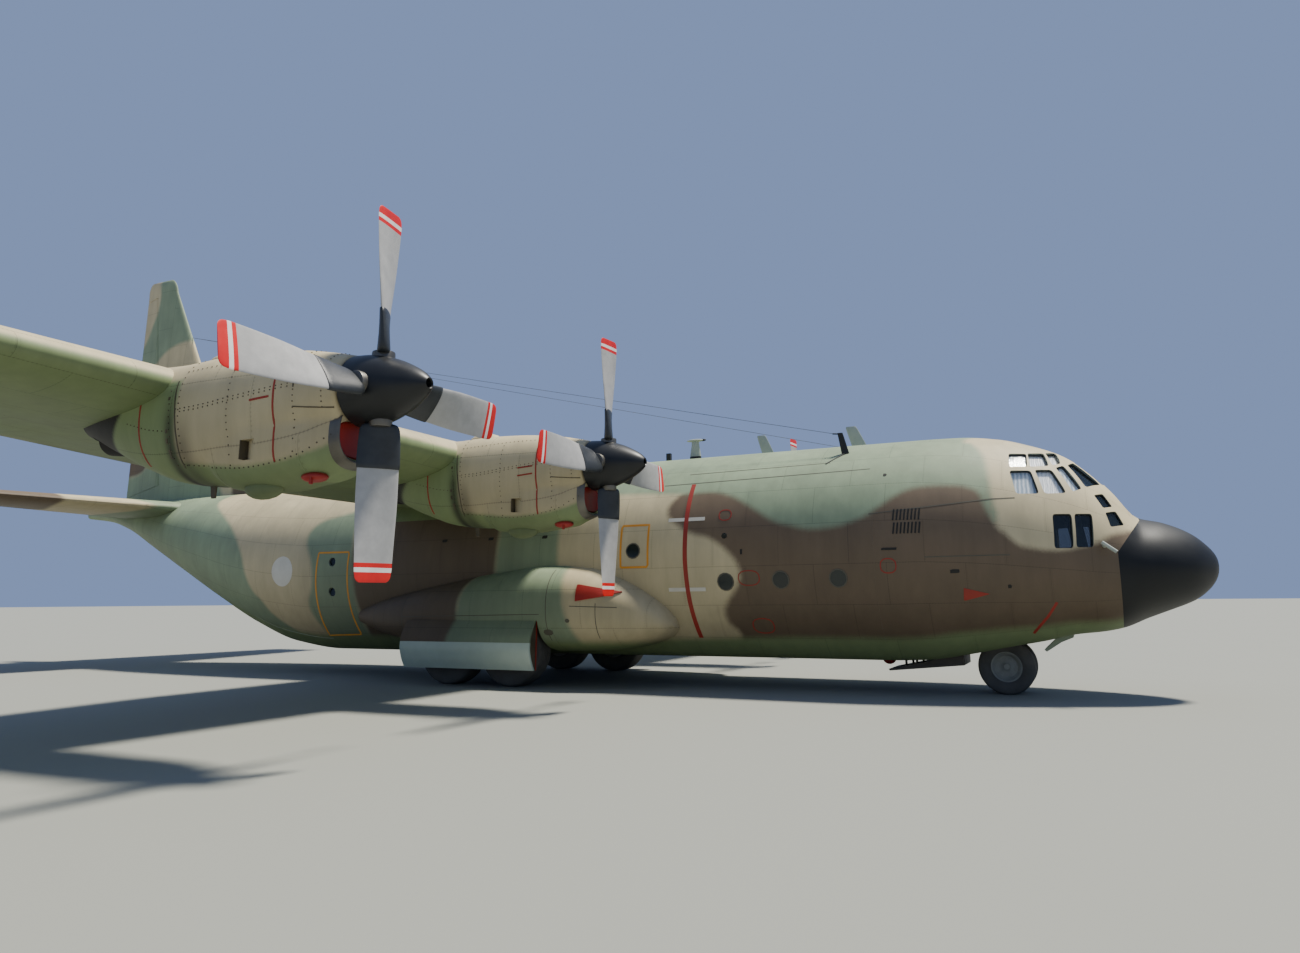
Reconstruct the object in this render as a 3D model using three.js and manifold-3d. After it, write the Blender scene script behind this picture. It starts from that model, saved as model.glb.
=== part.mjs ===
// High-wing military transport aircraft with four turboprops, parked on its gear, as a 1:2 scale model.
// Lengths are metres on the real aircraft; the group at the end scales them to the model's millimetres.
// Frame: x forward, y to port, z up from the ground. A station is a distance behind the nose tip.
import * as THREE from "three";
import { mergeVertices } from "three/addons/utils/BufferGeometryUtils.js";
import Module from "manifold-3d";

const wasm = await Module();
wasm.setup();

// Driving dimensions of the aircraft
const MODEL_MM_PER_METRE = 500;
const LENGTH = 29.79;
const SPAN = 40.41;
const HEIGHT = 11.66;
const SEAM = 0.0006; // between pieces that touch
const RUN = 0.014; // round pieces that move
const WALL = 0.11; // fuselage skin, frames and lining
const WELD = 1e-5; // vertices closer than this are one
const BEHIND = 9; // aft of any surface it is measured on

// Fuselage breaks and floors
const COCKPIT_BREAK = 5.2;
const TAIL_BREAK = 18.0;
const FLOOR_TOP = 1.04;
const FLOOR_DEPTH = 0.14;
const DECK_TOP = 2.1;
const DECK_DEPTH = 0.08;
const CARGO_DOOR_END = 25.0;
const CAVITY_FROM = 1.64;
const CAVITY_TO = 27.0;

// Landing gear
const NOSE_AXLE = 3.37;
const MAIN_AXLES = { front: 12.38, rear: 13.9 };
const MAIN_TRACK_HALF = 2.175;
const NOSE_WHEEL_HALF_TRACK = 0.29;

// Power plants: y of the prop shaft, its height, and the pitch of the blade tips in degrees
const ENGINES = [
  { name: "outer_left", y: 10.31, z: 3.9, tipPitch: 9 },
  { name: "inner_left", y: 5.16, z: 3.77, tipPitch: -6 },
  { name: "inner_right", y: -5.16, z: 3.77, tipPitch: -6 },
  { name: "outer_right", y: -10.31, z: 3.9, tipPitch: 9 },
];
const PROP_STATION = 8.67;
const PROP_RADIUS = 2.055;

const COLOURS = {
  sand: 0xc9b18a,
  green: 0x7f9b72,
  brown: 0x7c6450,
  underside: 0xa9b996,
  black: 0x2b2d30,
  grey: 0x9a9c9b,
  tyre: 0x232323,
  steel: 0x8d8f8e,
  glass: 0x24313a,
  cabin: 0x6f7a70,
};

// Stations to x
const at = (station) => LENGTH / 2 - station;

// Solids from three.js geometry, and back

function solidOf(geometry) {
  const bare = new THREE.BufferGeometry();
  bare.setAttribute("position", geometry.getAttribute("position"));
  if (geometry.index) bare.setIndex(geometry.index);
  const merged = mergeVertices(bare, WELD);
  const triVerts = new Uint32Array(merged.index.array);
  const vertProperties = new Float32Array(merged.attributes.position.array);
  const solid = new wasm.Manifold(new wasm.Mesh({ numProp: 3, vertProperties, triVerts }));
  if (solid.volume() >= 0) return solid;
  for (let i = 0; i < triVerts.length; i += 3) {
    [triVerts[i + 1], triVerts[i + 2]] = [triVerts[i + 2], triVerts[i + 1]];
  }
  return new wasm.Manifold(new wasm.Mesh({ numProp: 3, vertProperties, triVerts }));
}

function geometryOf(solid) {
  const { numProp, numVert, vertProperties, triVerts } = solid.getMesh();
  const positions = new Float32Array(numVert * 3);
  for (let i = 0; i < numVert; i++) {
    positions.set(vertProperties.subarray(i * numProp, i * numProp + 3), i * 3);
  }
  const geometry = new THREE.BufferGeometry();
  geometry.setAttribute("position", new THREE.BufferAttribute(positions, 3));
  geometry.setIndex(new THREE.BufferAttribute(new Uint32Array(triVerts), 1));
  return geometry;
}

const moved = (solid, matrix) => solidOf(geometryOf(solid).applyMatrix4(matrix));
const mirrored = (solid) => moved(solid, new THREE.Matrix4().makeScale(1, -1, 1));
const union = (...solids) => solids.reduce((a, b) => a.add(b));
const without = (solid, ...tools) => tools.reduce((a, b) => a.subtract(b), solid);

// A skin between rings of equal count, each four-sided face split along its shorter diagonal, and an end cap
function loft(rings) {
  const count = rings[0].length;
  const all = rings.flat();
  const positions = all.flatMap((p) => [p.x, p.y, p.z]);
  const faces = [];
  for (let r = 0; r + 1 < rings.length; r++) {
    for (let i = 0; i < count; i++) {
      const [a, b] = [r * count + i, r * count + ((i + 1) % count)];
      const [c, d] = [b + count, a + count];
      if (all[a].distanceTo(all[c]) <= all[b].distanceTo(all[d])) faces.push([a, b, c], [a, c, d]);
      else faces.push([a, b, d], [b, c, d]);
    }
  }
  const last = (rings.length - 1) * count;
  faces.push(...cap(rings[0]).map(([a, b, c]) => [a, c, b]));
  faces.push(...cap(rings.at(-1)).map((face) => face.map((i) => i + last)));
  const geometry = new THREE.BufferGeometry();
  geometry.setAttribute("position", new THREE.Float32BufferAttribute(positions, 3));
  geometry.setIndex(faces.flat());
  return solidOf(geometry);
}

// Triangles that fill a flat ring, wound the way the ring runs
function cap(ring) {
  const normal = new THREE.Vector3();
  ring.forEach((p, i) => normal.add(p.clone().cross(ring[(i + 1) % ring.length])));
  const away = ["x", "y", "z"].reduce((a, b) => (Math.abs(normal[a]) > Math.abs(normal[b]) ? a : b));
  const [u, v] = { x: ["y", "z"], y: ["z", "x"], z: ["x", "y"] }[away];
  const flat = ring.map((p) => new THREE.Vector2(p[u], p[v]));
  const ringTurn = Math.sign(THREE.ShapeUtils.area(flat));
  return THREE.ShapeUtils.triangulateShape(flat, []).map((face) => {
    const turn = Math.sign(THREE.ShapeUtils.area(face.map((i) => flat[i])));
    return turn === ringTurn ? face : [face[0], face[2], face[1]];
  });
}

// A box from station to station, y to y and z to z
function box(stations, ys, zs) {
  const size = [stations, ys, zs].map(([low, high]) => Math.abs(high - low));
  const geometry = new THREE.BoxGeometry(...size);
  geometry.translate(at((stations[0] + stations[1]) / 2), (ys[0] + ys[1]) / 2, (zs[0] + zs[1]) / 2);
  return solidOf(geometry);
}

// An outline of [station, z] points drawn out sideways from y to y
function sidePrism(outline, ys) {
  const shape = new THREE.Shape(outline.map(([s, z]) => new THREE.Vector2(at(s), z)));
  const geometry = new THREE.ExtrudeGeometry(shape, { depth: ys[1] - ys[0], bevelEnabled: false });
  const axes = [new THREE.Vector3(1, 0, 0), new THREE.Vector3(0, 0, 1), new THREE.Vector3(0, -1, 0)];
  geometry.applyMatrix4(new THREE.Matrix4().makeBasis(...axes));
  return solidOf(geometry.translate(0, ys[1], 0));
}

// An outline of [station, y] points drawn upwards from z to z
function planPrism(outline, zs) {
  const shape = new THREE.Shape(outline.map(([s, y]) => new THREE.Vector2(at(s), y)));
  const geometry = new THREE.ExtrudeGeometry(shape, { depth: zs[1] - zs[0], bevelEnabled: false });
  return solidOf(geometry.translate(0, 0, zs[0]));
}

// A round bar between two points
function rod(from, to, radius, sides = 12, radiusTo = radius) {
  const along = new THREE.Vector3().subVectors(to, from);
  const geometry = new THREE.CylinderGeometry(radiusTo, radius, along.length(), sides);
  geometry.translate(0, along.length() / 2, 0);
  geometry.applyQuaternion(
    new THREE.Quaternion().setFromUnitVectors(new THREE.Vector3(0, 1, 0), along.normalize()),
  );
  return solidOf(geometry.translate(from.x, from.y, from.z));
}

const point = (station, y, z) => new THREE.Vector3(at(station), y, z);

// Fuselage

// Columns: station, half width, crown z, widest z, belly z, share of the lower depth where the belly is flat
const SECTIONS = [
  [0.0, 0.12, 2.28, 2.15, 2.03, 0.97],
  [0.13, 0.42, 2.47, 2.14, 1.81, 0.97],
  [0.38, 0.74, 2.7, 2.13, 1.6, 0.97],
  [0.78, 1.04, 2.89, 2.12, 1.43, 0.97],
  [1.12, 1.22, 2.98, 2.12, 1.3, 0.96],
  [1.48, 1.37, 3.46, 2.15, 1.15, 0.94],
  [1.77, 1.49, 3.79, 2.18, 1.09, 0.92],
  [2.22, 1.66, 4.15, 2.24, 1.04, 0.9],
  [2.71, 1.81, 4.36, 2.3, 0.93, 0.88],
  [3.21, 1.93, 4.51, 2.36, 0.84, 0.87],
  [3.91, 2.06, 4.6, 2.42, 0.7, 0.866],
  [4.6, 2.14, 4.61, 2.45, 0.6, 0.866],
  [5.2, 2.16, 4.61, 2.45, 0.58, 0.866],
  [18.0, 2.16, 4.61, 2.45, 0.58, 0.866],
  [19.5, 2.12, 4.61, 2.55, 0.74, 0.866],
  [21.0, 2.0, 4.62, 2.75, 1.18, 0.87],
  [22.5, 1.8, 4.63, 3.05, 1.78, 0.88],
  [24.0, 1.52, 4.64, 3.35, 2.42, 0.9],
  [25.5, 1.18, 4.65, 3.7, 3.06, 0.92],
  [27.0, 0.8, 4.66, 4.02, 3.7, 0.94],
  [28.5, 0.42, 4.63, 4.28, 4.1, 0.95],
  [29.79, 0.1, 4.46, 4.36, 4.26, 0.97],
];
const LOWER_STEPS = 4;
const UPPER_STEPS = 7;

// The section at any station, straight between the rows of the table
function sectionAt(station) {
  const next = SECTIONS.findIndex(([s]) => s >= station);
  if (SECTIONS[next][0] === station) return SECTIONS[next];
  const [before, after] = [SECTIONS[next - 1], SECTIONS[next]];
  const share = (station - before[0]) / (after[0] - before[0]);
  return before.map((value, i) => value + share * (after[i] - value));
}

// One section as a ring: two half ellipses, one above the other, cut flat at the belly
function fuselageRing([station, half, crown, widest, belly, flat], inset) {
  const [width, rise] = [half - inset, crown - inset - widest];
  const depth = (widest - belly - inset) / flat;
  const low = -Math.asin(flat);
  const angles = [];
  for (let i = 0; i < LOWER_STEPS; i++) angles.push(low * (1 - i / LOWER_STEPS));
  for (let i = 0; i < UPPER_STEPS; i++) angles.push((Math.PI / 2) * (i / UPPER_STEPS));
  const corner = (angle, side) => {
    const height = (angle < 0 ? depth : rise) * Math.sin(angle);
    return point(station, side * width * Math.cos(angle), widest + height);
  };
  return [
    point(station, 0, widest + depth * Math.sin(low)),
    ...angles.map((angle) => corner(angle, 1)),
    point(station, 0, widest + rise),
    ...angles.reverse().map((angle) => corner(angle, -1)),
  ];
}

function fuselageLoft(inset, from = 0, to = LENGTH) {
  const inside = SECTIONS.map(([s]) => s).filter((s) => s > from && s < to);
  const stations = [from, ...inside, to];
  return loft(stations.map((s) => fuselageRing(sectionAt(s), inset)));
}

const skin = fuselageLoft(0);
const skinGrown = fuselageLoft(-SEAM);
const cavity = fuselageLoft(WALL, CAVITY_FROM, CAVITY_TO);
const lined = fuselageLoft(WALL + SEAM, CAVITY_FROM, CAVITY_TO);

// Flight deck windows: four corners of each as [station, y, z] on the starboard skin
const PANES = [
  // upper row
  [[3.02, -1.05, 4.1], [2.74, -0.9, 4.1], [2.73, -1.22, 3.83], [3.01, -1.33, 3.83]],
  [[2.73, -0.87, 4.1], [2.48, -0.66, 4.11], [2.4, -1.02, 3.84], [2.69, -1.2, 3.83]],
  [[2.46, -0.62, 4.11], [2.3, -0.33, 4.15], [2.22, -0.81, 3.89], [2.35, -0.97, 3.85]],
  // main row, from the side to the front
  [[3.01, -1.39, 3.76], [2.68, -1.27, 3.76], [2.57, -1.51, 3.33], [2.92, -1.63, 3.34]],
  [[2.62, -1.23, 3.77], [2.36, -1.09, 3.77], [2.16, -1.33, 3.34], [2.49, -1.48, 3.33]],
  [[2.3, -1.0, 3.81], [2.18, -0.84, 3.86], [1.93, -1.1, 3.42], [2.07, -1.25, 3.36]],
  [[2.12, -0.75, 3.87], [2.03, -0.4, 3.94], [1.63, -0.57, 3.52], [1.87, -1.02, 3.44]],
  // below the windscreen
  [[1.76, -1.05, 3.31], [1.62, -0.85, 3.34], [1.5, -0.96, 3.11], [1.64, -1.13, 3.08]],
  [[1.62, -1.17, 3.0], [1.46, -0.99, 3.03], [1.36, -1.09, 2.79], [1.56, -1.27, 2.76]],
  // low on the side
  [[2.4, -1.6, 2.98], [2.12, -1.48, 2.98], [2.13, -1.62, 2.42], [2.41, -1.71, 2.42]],
  [[2.08, -1.46, 2.98], [1.82, -1.32, 2.98], [1.84, -1.5, 2.43], [2.09, -1.6, 2.43]],
];
const CENTRE_PANE = [[2.02, -0.33, 3.95], [2.02, 0.33, 3.95], [1.6, 0.5, 3.53], [1.6, -0.5, 3.53]];
const PANE_REACH = 0.3;

// A cutter through the skin from four corners on it
function panePrism(corners) {
  const ring = corners.map(([s, y, z]) => point(s, y, z));
  const [a, b] = [ring[2].clone().sub(ring[0]), ring[3].clone().sub(ring[1])];
  const normal = a.cross(b).normalize().multiplyScalar(PANE_REACH);
  return loft([ring.map((p) => p.clone().sub(normal)), ring.map((p) => p.clone().add(normal))]);
}

// The radome's joint with the nose: [station, z], above and below
const RADOME_JOINT = [[-1, 0.4], [-1, 4.2], [1.11, 4.2], [1.11, 2.9], [1.5, 2.35], [1.5, 0.4]];
const shifted = (outline, by) => outline.map(([s, z]) => [s + by, z]);

// Side openings: [station from, to], [z from, to]
const CREW_DOOR = { stations: [3.95, 4.75], zs: [1.0, 2.82] };
const TROOP_DOOR = { stations: [17.02, 17.88], zs: [FLOOR_TOP, 2.86] };
const CREW_DOOR_OPENING = box(
  CREW_DOOR.stations.map((s, i) => s + (i ? RUN : -RUN)), [0.9, 3], CREW_DOOR.zs.map((z, i) => z + (i ? RUN : 0)),
);
const NOSE_BAY = { stations: [2.3, 4.7], half: 0.62, top: 1.72, wall: 0.06 };

function noseBayBlock(grow) {
  const { stations, half, top } = NOSE_BAY;
  return box([stations[0] - grow, stations[1] + grow], [-half - grow, half + grow], [0, top + grow]);
}

function fuselageShell() {
  const hollow = without(cavity, noseBayBlock(NOSE_BAY.wall));
  return without(skin, hollow);
}

const shell = fuselageShell();

function radome() {
  return skin.intersect(sidePrism(RADOME_JOINT, [-4, 4]));
}

function forwardFuselage() {
  const panes = PANES.map(panePrism);
  const part = shell.intersect(box([-1, COCKPIT_BREAK - SEAM], [-4, 4], [-1, 6]));
  return without(
    part,
    sidePrism(shifted(RADOME_JOINT, SEAM), [-5, 5]),
    ...panes,
    ...panes.map(mirrored),
    panePrism(CENTRE_PANE),
    CREW_DOOR_OPENING,
    noseBayBlock(0),
  );
}

// The outline of the wing's saddle in the crown: under the wing's lower face and up through the top
const SADDLE = { from: 11.1, to: 16.35, bottom: 3.42, top: 5.2 };
const saddle = (grow) =>
  box([SADDLE.from - grow, SADDLE.to + grow], [-3, 3], [SADDLE.bottom - grow, SADDLE.top]);

// Aerials on the crown: [station, y, height, length, thickness, rake]
const BLADE_AERIALS = [
  [7.79, 0.5, 0.56, 0.3, 0.04, 0.22],
  [5.84, 0.5, 0.58, 0.34, 0.04, 0.24],
  [9.33, 0, 0.4, 0.26, 0.12, 0],
  [10.05, 0.2, 0.24, 0.1, 0.08, 0],
];
// Flat cap on the upright one, with its heights above the crown
const AERIAL_CAP = { stations: [9.12, 9.53], half: 0.09, rises: [0.39, 0.45] };

function crownAt(y) {
  const [, half, crown, widest] = sectionAt(8);
  return widest + (crown - widest) * Math.sqrt(1 - (y / half) ** 2);
}

function aerials() {
  const solids = BLADE_AERIALS.map(([s, y, height, length, thickness, rake]) => {
    const foot = crownAt(y) - WALL / 2;
    const top = crownAt(y) + height;
    const outline = [[s - length / 2, foot], [s + length / 2, foot]];
    outline.push([s + length / 3 + rake, top], [s - length / 3 + rake, top]);
    return sidePrism(outline, [y - thickness / 2, y + thickness / 2]);
  });
  const { stations, half, rises } = AERIAL_CAP;
  return union(...solids, box(stations, [-half, half], rises.map((rise) => crownAt(0) + rise)));
}

function centreFuselage() {
  const part = shell.intersect(box([COCKPIT_BREAK, TAIL_BREAK - SEAM], [-4, 4], [-1, 6]));
  const doors = box(TROOP_DOOR.stations.map((s, i) => s + (i ? SEAM : -SEAM)), [-4, 4],
    TROOP_DOOR.zs.map((z, i) => z + (i ? SEAM : -SEAM)));
  return without(union(part, aerials()), doors, saddle(SEAM));
}

function troopDoor() {
  const { stations, zs } = TROOP_DOOR;
  const window = rod(point(17.45, 1, 2.3), point(17.45, 3, 2.3), 0.13, 16);
  return without(shell.intersect(box(stations, [1, 3], zs)), window);
}

function crewDoor() {
  const { stations, zs } = CREW_DOOR;
  return shell.intersect(box(stations, [0.9, 3], [zs[0] + SEAM, zs[1]]));
}

// The joint between ramp and cargo door leans forward as it rises, along the arc that the door's front edge swings on
const RAMP_JOINT = { station: 20.98, z: 1.0, lean: 0.415, gap: 0.03 };
const rampEnd = (z, gap = 0) => RAMP_JOINT.station + gap - RAMP_JOINT.lean * (z - RAMP_JOINT.z);

// Ramp and cargo door: their upper faces as [station, z], and half widths
const RAMP = { half: 1.42, top: [[TAIL_BREAK, FLOOR_TOP], [rampEnd(1.535), 1.535]] };
const CARGO_DOOR = { half: [1.3, 0.74], top: [[rampEnd(1.4), 1.4], [CARGO_DOOR_END, 3.0]] };
const CARGO_DOOR_LIFT = 0.6;
const CARGO_DOOR_HINGE = { station: 24.97, z: 3.02, radius: 0.04 };

function rampBlock(gap, bottom = 0) {
  const [[s0, z0], [, z1]] = RAMP.top;
  const rear = [z1 + gap, bottom].map((z) => [rampEnd(z, gap), z]);
  const outline = [[s0 - 0.1, bottom], [s0 - 0.1, z0 + gap], ...rear];
  return sidePrism(outline, [-RAMP.half - gap, RAMP.half + gap]);
}

function cargoDoorBlock(gap, lift) {
  const [[s0, z0], [s1, z1]] = CARGO_DOOR.top;
  const [h0, h1] = CARGO_DOOR.half.map((half) => half + gap);
  const front = (z) => rampEnd(z, RAMP_JOINT.gap - 3 * gap);
  const side = sidePrism([[front(0), 0], [front(z0 + lift), z0 + lift], [s1 + gap, z1 + lift], [s1 + gap, 0]], [-4, 4]);
  const ahead = s0 - CARGO_DOOR_LIFT;
  const plan = planPrism([[ahead, -h0], [s1 + gap, -h1], [s1 + gap, h1], [ahead, h0]], [-1, 6]);
  return side.intersect(plan);
}

function aftFuselage() {
  const part = shell.intersect(box([TAIL_BREAK, 31], [-4, 4], [-1, 6]));
  const opening = cargoDoorBlock(RUN, CARGO_DOOR_LIFT);
  return without(part, rampBlock(RUN, -1), opening);
}

function cargoRamp() {
  return skin.intersect(rampBlock(0)).intersect(box([TAIL_BREAK + SEAM, 31], [-4, 4], [-1, 6]));
}

// The upper door with the pin that it swings up on at its rear edge
function cargoDoor() {
  const { station, z, radius } = CARGO_DOOR_HINGE;
  const reach = CARGO_DOOR.half[1] + RUN - 2 * SEAM;
  return skin.intersect(cargoDoorBlock(0, 0)).add(rod(point(station, -reach, z), point(station, reach, z), radius));
}

function cargoFloor() {
  const slab = box([COCKPIT_BREAK, TAIL_BREAK - SEAM], [-3, 3], [FLOOR_TOP - FLOOR_DEPTH, FLOOR_TOP - SEAM]);
  return lined.intersect(slab);
}

// Flight deck: floor, steps cut for the crew door, and the rear bulkhead with its doorway
const BULKHEAD = { station: 5.0, thickness: 0.06, doorHalf: 0.36, doorTop: 3.9 };

function flightDeck() {
  const { station, thickness, doorHalf, doorTop } = BULKHEAD;
  const slab = box([CAVITY_FROM, station], [-3, 3], [DECK_TOP - DECK_DEPTH, DECK_TOP]);
  const wall = box([station - thickness, station], [-3, 3], [DECK_TOP - DECK_DEPTH, 5]);
  const doorway = box([station - 1, station + 1], [-doorHalf, doorHalf], [DECK_TOP, doorTop]);
  const stairwell = box([3.8, 4.88], [0.85, 3], [0, DECK_TOP + 0.5]);
  return without(lined.intersect(union(slab, wall)), doorway, stairwell);
}

// Instrument panel with its coaming, standing on the deck
function instrumentPanel() {
  const outline = [[1.86, DECK_TOP + SEAM], [2.1, DECK_TOP + SEAM], [2.22, 2.95], [2.3, 3.06], [2.0, 3.06]];
  return lined.intersect(sidePrism(outline, [-1.02, 1.02]));
}

// One seat: pan, back and pedestal as one outline
function crewSeat(y) {
  const seat = sidePrism([[2.75, 2.5], [3.28, 2.46], [3.36, 3.36], [3.24, 3.38], [3.16, 2.62], [2.75, 2.62]],
    [y - 0.24, y + 0.24]);
  const pedestal = box([2.9, 3.1], [y - 0.14, y + 0.14], [DECK_TOP + SEAM, 2.52]);
  return union(seat, pedestal);
}

// One sheet of glazing just inside the flight deck's windows
const GLASS = 0.02;

function cockpitGlass() {
  const inner = fuselageLoft(WALL + SEAM + GLASS, CAVITY_FROM, CAVITY_TO);
  return without(lined, inner).intersect(box([CAVITY_FROM + 0.02, 3.5], [-3, 3], [2.3, 4.42]));
}

// Lifting surfaces

// Span stations of the wing
const CENTRE_WING_HALF = 5.59;
const FLAP_SPANS = { inner: [2.2, 5.5], outer: [5.66, 12.72] };
const AILERON_SPAN = [12.84, 19.6];
const FLAP_FROM = 0.73; // share of the chord
const AILERON_HINGE = 0.75;

// A surface runs from a root to a tip: [leading edge station, y, z], chord, thickness, incidence in degrees
const WING = {
  root: { edge: [11.27, CENTRE_WING_HALF, 4.07], chord: 4.88, thick: 0.18, incidence: 3.4 },
  tip: { edge: [11.58, 19.72, 4.38], chord: 2.56, thick: 0.12, incidence: 1 },
  camber: 0.02,
};
const CENTRE_WING = { root: { ...WING.root, edge: [11.27, 0, 4.07] }, tip: WING.root, camber: WING.camber };
const FIN = {
  root: { edge: [22.93, 0, 4.2], chord: 5.25, thick: 0.13, incidence: 0 },
  tip: { edge: [26.7, 0, 11.2], chord: 1.36, thick: 0.12, incidence: 0 },
  camber: 0,
  upright: true,
};
const TAILPLANE = {
  root: { edge: [24.2, 0.3, 4.25], chord: 4.16, thick: 0.12, incidence: 0 },
  tip: { edge: [25.49, 7.7, 4.25], chord: 2.14, thick: 0.1, incidence: 0 },
  camber: 0,
};
const FRACTIONS = [1, 0.88, 0.74, 0.58, 0.42, 0.28, 0.16, 0.07, 0.02, 0];

// Half the thickness of the section at a share of the chord, for a thickness of 1
function halfThickness(share) {
  const powers = [0.2969 * Math.sqrt(share), -0.126 * share, -0.3516 * share ** 2];
  return 5 * (powers.reduce((a, b) => a + b) + 0.2843 * share ** 3 - 0.1015 * share ** 4);
}

// A point of a surface's end section: share of the chord, and offset in half thicknesses
function endPoint({ edge, chord, thick, incidence }, surface, share, side, grow) {
  const pitch = THREE.MathUtils.degToRad(incidence);
  const lift = 4 * surface.camber * share * (1 - share) * chord + side * (chord * thick * halfThickness(share) + grow);
  const back = share * chord + grow * (2 * share - 1);
  if (surface.upright) return point(edge[0] + back, edge[1] + lift, edge[2]);
  const [aft, down] = [back * Math.cos(pitch) + lift * Math.sin(pitch), back * Math.sin(pitch) - lift * Math.cos(pitch)];
  return point(edge[0] + aft, edge[1], edge[2] - down);
}

// The same anywhere along the span, straight between the ends
function surfacePoint(surface, along, share, side, grow = 0) {
  const [root, tip] = [surface.root, surface.tip].map((end) => endPoint(end, surface, share, side, grow));
  return root.lerp(tip, along);
}

function surfaceRing(surface, along, grow = 0) {
  const upper = FRACTIONS.map((share) => surfacePoint(surface, along, share, 1, grow));
  const lower = FRACTIONS.slice(0, -1).map((share) => surfacePoint(surface, along, share, -1, grow));
  return [...upper, ...lower.reverse()];
}

// A ring pulled in towards its middle and moved outboard, for a rounded tip
function tipRing(ring, shrink, out) {
  const middle = ring.reduce((a, b) => a.clone().add(b), new THREE.Vector3()).divideScalar(ring.length);
  return ring.map((p) => p.clone().sub(middle).multiplyScalar(shrink).add(middle).add(out));
}

const spanShare = (surface, value, axis = 1) =>
  (value - surface.root.edge[axis]) / (surface.tip.edge[axis] - surface.root.edge[axis]);

// The space behind a line at a share of the chord, its ends square to the line; it starts that far ahead of it
function bay(surface, span, share, ahead, axis = 1) {
  const [a, b] = span.map((value) => LENGTH / 2 - surfacePoint(surface, spanShare(surface, value, axis), share, 0).x);
  const slope = (b - a) / (span[1] - span[0]);
  const corner = (station, value, back) => [station + back, value - slope * back];
  const fore = [corner(a, span[0], -ahead[0]), corner(b, span[1], -ahead[1])];
  const outline = [fore[0], corner(a, span[0], BEHIND), corner(b, span[1], BEHIND), fore[1]];
  return axis === 2 ? sidePrism(outline, [-1, 1]) : planPrism(outline, [0, 8]);
}

// Half the thickness at a hinge line's two ends, the radius of the half-round nose
const noseRadii = (surface, span, hinge, axis) =>
  span.map((value) => {
    const along = spanShare(surface, value, axis);
    return surfacePoint(surface, along, hinge, 0).distanceTo(surfacePoint(surface, along, hinge, 1));
  });

// The space a hinged surface turns in
const hingeBay = (surface, span, hinge, axis = 1) =>
  bay(surface, span, hinge, noseRadii(surface, span, hinge, axis).map((radius) => radius + RUN), axis);

// A hinged surface: its nose is half round about the hinge, with a pin at each end
const NOSE_STEPS = 6;
const PIN = 0.022;
const OVERRUN = 0.4;

function hinged(surface, span, hinge, axis = 1) {
  const rings = [span[0] - OVERRUN, span[1] + OVERRUN].map((value) => {
    const along = spanShare(surface, value, axis);
    const centre = surfacePoint(surface, along, hinge, 0);
    const top = surfacePoint(surface, along, hinge, 1).sub(centre);
    const forward = surfacePoint(surface, along, 0, 0).sub(centre).setLength(top.length());
    const nose = [];
    for (let i = 0; i <= NOSE_STEPS; i++) {
      const angle = (Math.PI * i) / NOSE_STEPS;
      nose.push(centre.clone().addScaledVector(top, Math.cos(angle)).addScaledVector(forward, Math.sin(angle)));
    }
    const tail = [1, -1].map((side) => surfacePoint(surface, along, 1, side));
    return [tail[0], ...nose, tail[1]];
  });
  const within = (gap) => bay(surface, [span[0] + gap, span[1] - gap], hinge, [OVERRUN, OVERRUN], axis);
  const [from, to] = [span[0] - OVERRUN, span[1] + OVERRUN].map((value) =>
    surfacePoint(surface, spanShare(surface, value, axis), hinge, 0),
  );
  return union(loft(rings).intersect(within(RUN)), rod(from, to, PIN).intersect(within(SEAM)));
}

function outerWing() {
  const rings = [0, 1].map((along) => surfaceRing(WING, along));
  rings[0] = surfaceRing(WING, spanShare(WING, CENTRE_WING_HALF + SEAM));
  rings.push(tipRing(rings[1], 0.9, new THREE.Vector3(0, 0.3, 0.01)));
  rings.push(tipRing(rings[1], 0.62, new THREE.Vector3(0, SPAN / 2 - WING.tip.edge[1], 0.015)));
  return without(
    loft(rings),
    bay(WING, [FLAP_SPANS.outer[0] - RUN, FLAP_SPANS.outer[1] + RUN], FLAP_FROM, [SEAM, SEAM]),
    hingeBay(WING, AILERON_SPAN, AILERON_HINGE),
  );
}

function centreWing() {
  const ring = surfaceRing(CENTRE_WING, 1);
  const span = loft([ring.map((p) => p.clone().setY(-p.y)), ring]);
  const crown = skin.intersect(saddle(0));
  const flapBay = bay(CENTRE_WING, [FLAP_SPANS.inner[0] - RUN, FLAP_SPANS.inner[1] + RUN], FLAP_FROM, [SEAM, SEAM]);
  return without(union(span, crown), flapBay, mirrored(flapBay));
}

const wingTunnel = () => {
  const ring = surfaceRing(CENTRE_WING, 1, SEAM);
  const outer = [0, 1].map((along) => surfaceRing(WING, along, SEAM));
  const centre = loft([ring.map((p) => p.clone().setY(-p.y)), ring]);
  return union(centre, loft(outer), mirrored(loft(outer)));
};

// A flap: the back of the section, cut off square at its nose
const flap = (surface, span) =>
  loft([0, 1].map((along) => surfaceRing(surface, along))).intersect(bay(surface, span, FLAP_FROM, [0, 0]));
const innerFlap = () => flap(CENTRE_WING, FLAP_SPANS.inner);
const outerFlap = () => flap(WING, FLAP_SPANS.outer);
const aileron = () => hinged(WING, AILERON_SPAN, AILERON_HINGE);

// Tail
const RUDDER_SPAN = [5.06, 11.12];
const RUDDER_HINGE = 0.68;
const ELEVATOR_SPAN = [0.98, 7.62];
const ELEVATOR_HINGE = 0.64;
const TAIL_HALF_SPAN = 8.03;

// The dorsal fillet ahead of the fin: station, height over the crown, half width at the foot
const DORSAL = [
  [19.9, 0.03, 0.05],
  [21.6, 0.28, 0.11],
  [23.0, 0.85, 0.2],
  [24.6, 2.45, 0.26],
];

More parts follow.
